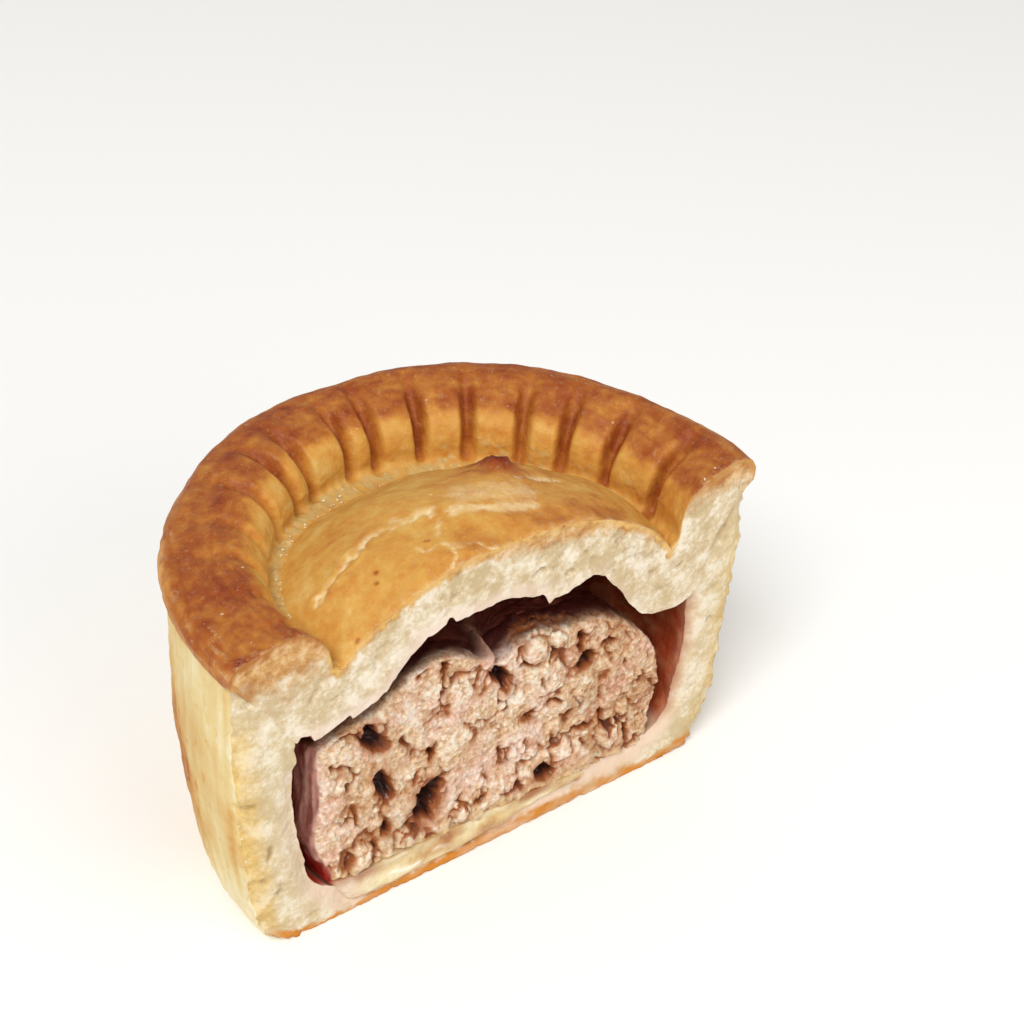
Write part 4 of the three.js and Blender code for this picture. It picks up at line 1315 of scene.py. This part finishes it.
def bakedWallCrust():
    # unglazed crust baked against nothing: pale, dry, streaked where the dough was raised
    look = wallLook
    material, add, _, (blotch, speckle) = newMaterial("unglazed_baked_crust", look["noises"])
    upright = add("Mapping", {"Scale": (1, 1, 0.12)}, {"Vector": ("wrap", "Vector")})
    streaky = {"Scale": perSize(look["streak"]), "Detail": 5, "Roughness": 0.6}
    streak = add("TexNoise", streaky, {"Vector": upright})
    parts = [(streak, 0.2), (blotch, 0.24), (speckle, 0.12)]
    colour = readRamp(add, "baked", parts, 0.28, look["stops"])
    settings = {"IOR": 1.42, "Specular IOR Level": 0.3, "Roughness": 0.65}
    relief = [(streak, 0.14), (speckle, 0.08)]
    return wireUp(material, add, settings, {"Base Color": colour}, relief, soft=(0.08, 1.2, 0.8, 0.4))


# brown tints the tan of the lid's rim crust, and paints shade into the pits, cracks and the seam's crease on
# both
lidCut = {
    "crumb": [(0.36, "#c3ac85"), (0.5, "#d3c09e"), (0.66, "#e6dac4")],
    "tan": [(0.3, "#aa703a"), (0.5, "#c59459"), (0.7, "#dbb888")],
    "tints": {"damp": "#e4cdbd", "crustLine": "#d9b064", "brown": "#a5622b"},
}
caseCut = {
    "crumb": [(0.36, "#c7b28b"), (0.5, "#d3c09d"), (0.66, "#e4d8c0")],
    "tan": [(0.35, "#cda659"), (0.65, "#dfc384")],
    "tints": {"damp": "#e0c6ae", "crustLine": "#c9822f", "brown": "#8f6b3c", "stain": "#a8623f"},
}


def cutPastryCrumb(name, look):
    # short, close crumb opened by a knife: dull and chalky, with little pits
    material, add, _, (fine, soft) = newMaterial(name, [(0.6, 4, 0.65), (3.0, 4, 0.6)])
    level = add("Math", {"operation": "MULTIPLY_ADD", 1: 1.2, 2: -0.4}, {0: soft})
    level = add("Math", {"operation": "MULTIPLY_ADD", 1: 0.6}, {0: fine, 2: level})
    crumb, tan = [add("ValToRGB", {"stops": look[key]}, {"Fac": level}) for key in ("crumb", "tan")]
    colour = add("Mix", {"data_type": "RGBA"}, {0: "band", 6: crumb, 7: tan})
    colour = layTints(add, colour, look["tints"].items())
    settings = {"IOR": 1.4, "Specular IOR Level": 0.3, "Roughness": 0.7}
    links = {"Base Color": colour}
    return wireUp(material, add, settings, links, [(fine, 0.12)], soft=(0.15, 1.6, 1.1, 0.7))


def steamedPastry():
    # underside of the lid, steamed by the meat: limp, damp and stained dark
    material, add, _, (blotch,) = newMaterial("steamed_pastry_underside", [(4.0, 6, 0.65)])
    stops = [(0.35, "#66281a"), (0.5, "#8c4632"), (0.65, "#b07558")]
    links = {"Base Color": add("ValToRGB", {"stops": stops}, {"Fac": blotch})}
    return wireUp(material, add, {"IOR": 1.4, "Roughness": 0.5}, links, [(blotch, 0.2)])


def juiceStainedPastry():
    # inside of the case: cream dough near the cut on the left, soaked red-brown by meat juice elsewhere
    material, add, _, (blotch,) = newMaterial("juice_stained_pastry", [(3.5, 6, 0.65)])
    stops = [(0.35, "#a03a20"), (0.5, "#b95632"), (0.65, "#cb7c52")]
    stain = add("ValToRGB", {"stops": stops}, {"Fac": blotch})
    cream = {"data_type": "RGBA", 6: hexColour("#dcc0a2")}
    colour = add("Mix", cream, {0: "soaked", 7: stain})
    colour = layTints(add, colour, [("redPocket", "#d8301a")])
    settings = {"IOR": 1.4, "Roughness": 0.4}
    links = {"Base Color": colour}
    return wireUp(material, add, settings, links, [(blotch, 0.2)], soft=(0.12, 2.0, 0.8, 0.5))


porkLook = {
    "lean": [(0.1, "#a9713f"), (0.35, "#cda073"), (0.6, "#e2bf97"), (0.9, "#f8e9d0")],
    "pink": [(0.1, "#b87a58"), (0.35, "#d6a488"), (0.6, "#e6bfa6"), (0.9, "#f8e2d2")],
    "skin": [(0.2, "#94594d"), (0.5, "#bd8273"), (0.85, "#dcac9b")],
    # juice: brown meat juice in shallow crevices, deepening to painted shade, near black, in the holes
    "juice": [(0.0, "#c07a42"), (0.4, "#a55d28"), (0.75, "#7a3a16"), (1.0, "#35140a")],
    "tints": {
        "fat": "#f0e2c2",
        "dull": "#a5835c",
        "jellied": "#dcb984",
        "bloody": "#9a1a0c",
        "shade": "#54211a",
        "fold": "#cf9f86",
    },
    "grain": 0.45,  # mm across a grain of minced meat
    "chip": 1.0,  # mm across a torn chip of it
}


def coarsePork():
    # cooked pork chopped coarse: soft, wet, pale pink, with brown juices and painted shade in the gaps
    look = porkLook
    noises = [(look["grain"], 5, 0.7)]
    material, add, place, (fine,) = newMaterial("coarse_chopped_cooked_pork", noises)
    bent = add("VectorMath", {"operation": "SCALE", 3: 0.0011}, {0: (fine, "Color")})
    bent = add("VectorMath", {"operation": "ADD"}, {0: place, 1: bent})
    chips = add("TexVoronoi", {"Scale": perSize(look["chip"])}, {"Vector": bent})
    each = add("Math", {"operation": "MULTIPLY_ADD", 1: 0.16, 2: -0.94}, {0: (chips, "Color")})
    level = add("Math", {"operation": "MULTIPLY_ADD", 1: 1.8}, {0: fine, 2: each})
    level = add("Math", {"operation": "ADD"}, {0: level, 1: "tone"})
    ramps = {"lean": level, "pink": level, "skin": "streaks", "juice": "sunk"}
    lean, pink, skin, juice = [add("ValToRGB", {"stops": look[key]}, {"Fac": ramps[key]}) for key in ramps]
    colour = add("Mix", {"data_type": "RGBA"}, {0: "pink", 6: lean, 7: pink})
    colour = add("Mix", {"data_type": "RGBA"}, {0: "skin", 6: colour, 7: skin})
    colour = layTints(add, colour, look["tints"].items())
    # mixed in by sunk: meat juice and painted shade in the gaps
    deep = add("Math", {"operation": "MULTIPLY_ADD", 1: 0.5}, {0: fine, 2: "sunk"})
    deep = add("MapRange", {"From Min": 0.32, "From Max": 0.66}, {"Value": deep})
    colour = add("Mix", {"data_type": "RGBA"}, {0: deep, 6: colour, 7: juice})
    gloss = add("Math", {"operation": "MULTIPLY_ADD", 1: 0.6, 2: 0.1}, {0: fine})
    gloss = add("Math", {"operation": "MULTIPLY_ADD", 1: 0.7}, {0: "sunk", 2: gloss})
    gloss = add("Math", {"operation": "MULTIPLY_ADD", 1: -0.3, "use_clamp": True}, {0: "wet", 2: gloss})
    settings = {"IOR": 1.38, "Coat Weight": 0.3, "Coat Roughness": 0.1}
    links = {"Base Color": colour, "Roughness": gloss}
    relief = [(chips, -0.12), (fine, 0.26)]
    return wireUp(material, add, settings, links, relief, soft=(0.3, 3.0, 1.2, 0.7))


def pressedPork():
    # meat that was pressed against the crust and has shrunk from it: smooth and moist, coloured dark as
    # painted shade for the air gap under the lid
    material, add, *_ = newMaterial("pressed_cooked_pork_painted_shade")
    upright = add("Mapping", {"Scale": (1, 1, 0.2)}, {"Vector": ("wrap", "Vector")})
    streaky = {"Scale": perSize(1.4), "Detail": 6, "Roughness": 0.65}
    streak = add("TexNoise", streaky, {"Vector": upright})
    # dark stops: painted shade for the gap under the lid
    stops = [(0.35, "#4c1f16"), (0.5, "#6a3024"), (0.65, "#8c4e3e")]
    colour = add("ValToRGB", {"stops": stops}, {"Fac": streak})
    colour = layTints(add, colour, [("fold", "#b98a70")])
    settings = {"IOR": 1.38, "Roughness": 0.45}
    links = {"Base Color": colour}
    return wireUp(material, add, settings, links, [(streak, 0.2)], soft=(0.1, 2.2, 0.9, 0.6))


def setJellyFinish():
    # clear stock set firm: pale amber, wet and bright with reflections, plus painted highlight glints
    material, add, _, (soft,) = newMaterial("set_stock_jelly", [(1.2, 5, 0.5)])
    stops = [(0.25, "#a8703a"), (0.45, "#c8a066"), (0.65, "#d8bf88"), (0.9, "#ecdcb2")]
    colour = readRamp(add, "cloudy", [(soft, 0.57)], 0, stops)
    tints = {"doughy": "#e0c6ae", "juice": "#9a5a2c", "bloody": "#a81c0c", "glint": "#fdf8ea"}
    colour = layTints(add, colour, tints.items())
    settings = {"IOR": 1.36, "Roughness": 0.15, "Coat Weight": 0.6, "Coat Roughness": 0.05}
    links = {"Base Color": colour}
    return wireUp(material, add, settings, links, [(soft, 0.4)], soft=(0.3, 3, 2, 1))


def crispCrumb():
    # broken bits of baked crust: dry, pale to golden
    material, add, *_ = newMaterial("crisp_pastry_crumbs")
    stops = [(0.0, "#c98f45"), (0.5, "#e3c48a"), (1.0, "#f2e6cc")]
    colour = add("ValToRGB", {"stops": stops}, {"Fac": "paleness"})
    return wireUp(material, add, {"IOR": 1.4, "Roughness": 0.7}, {"Base Color": colour})


materials = {
    "glazedCrust": eggGlazedCrust(),
    "bakedWall": bakedWallCrust(),
    "cutCrumb": cutPastryCrumb("knife_cut_lid_pastry", lidCut),
    "cutCase": cutPastryCrumb("knife_cut_case_pastry", caseCut),
    "steamedDough": steamedPastry(),
    "soakedDough": juiceStainedPastry(),
    "choppedPork": coarsePork(),
    "pressedPork": pressedPork(),
    "setJelly": setJellyFinish(),
    "crumb": crispCrumb(),
}
print("finishes ready")

makeLid(materials)
makeCase(materials)
makePorkBody(materials)
makePorkFront(materials)
makeJelly(materials)
makeCrumbs(materials)

studio = {
    "floor": "#fbfaf7",
    "floorHalf": 3.0,  # metres from the middle to an edge
    "sky": 0.5,
    "target": (0, 0, 0.025),  # what the softboxes face, metres
    "softboxes": {  # place and width in metres, and watts
        "key_softbox": ((-0.7, -0.48, 1.15), 0.6, 13.0),
        "fill_softbox": ((0.1, -0.5, 0.28), 0.4, 0.85),
    },
}


def addFloor():
    half = studio["floorHalf"]
    mesh = bpy.data.meshes.new("floor")
    corners = [(-half, -half, 0), (half, -half, 0), (half, half, 0), (-half, half, 0)]
    mesh.from_pydata(corners, [], [(0, 1, 2, 3)])
    material, add, *_ = newMaterial("matt_white_paper")
    paper = {"Base Color": hexColour(studio["floor"]), "Roughness": 0.9, "IOR": 1.3}
    mesh.materials.append(wireUp(material, add, paper, {}))
    addObject("floor", mesh)


def addSky():
    world = bpy.data.worlds.new("studio")
    world.use_nodes = True
    background = world.node_tree.nodes["Background"]
    background.inputs["Color"].default_value = hexColour("#ffffff")
    background.inputs["Strength"].default_value = studio["sky"]
    bpy.context.scene.world = world


def addSoftboxes():
    for name, (where, width, watts) in studio["softboxes"].items():
        light = bpy.data.lights.new(name, "AREA")
        light.size = width
        light.energy = watts
        box = addObject(name, light)
        box.location = where
        away = Vector(where) - Vector(studio["target"])
        box.rotation_euler = away.to_track_quat("Z", "Y").to_euler()


cameraPlace = {
    "lens": 63.28,  # mm
    "frame": 36,  # mm, square
    "azimuth": -37.83,  # degrees round the object, 0 is straight at the cut
    "elevation": 35.87,
    "roll": 3.45,
    "place": (-101.71, -151.91, 171.72),  # mm from the origin
}


def addCamera():
    camera = bpy.data.cameras.new("camera")
    camera.lens = cameraPlace["lens"]
    camera.sensor_width = cameraPlace["frame"]
    holder = addObject("camera", camera)
    around, above = math.radians(cameraPlace["azimuth"]), math.radians(cameraPlace["elevation"])
    back = Vector((math.sin(around) * math.cos(above), -math.cos(around) * math.cos(above), math.sin(above)))
    across = (-back).cross(Vector((0, 0, 1))).normalized()
    up = across.cross(-back)
    facing = Matrix((across, up, back)).transposed().to_4x4()
    turn = Matrix.Rotation(math.radians(cameraPlace["roll"]), 4, "Z")
    holder.matrix_world = Matrix.Translation(Vector(cameraPlace["place"]) / 1000) @ facing @ turn
    bpy.context.scene.camera = holder


addFloor()
addSky()
addSoftboxes()
addCamera()
bpy.context.scene.view_settings.view_transform = "Standard"
print("floor, lights and camera ready")
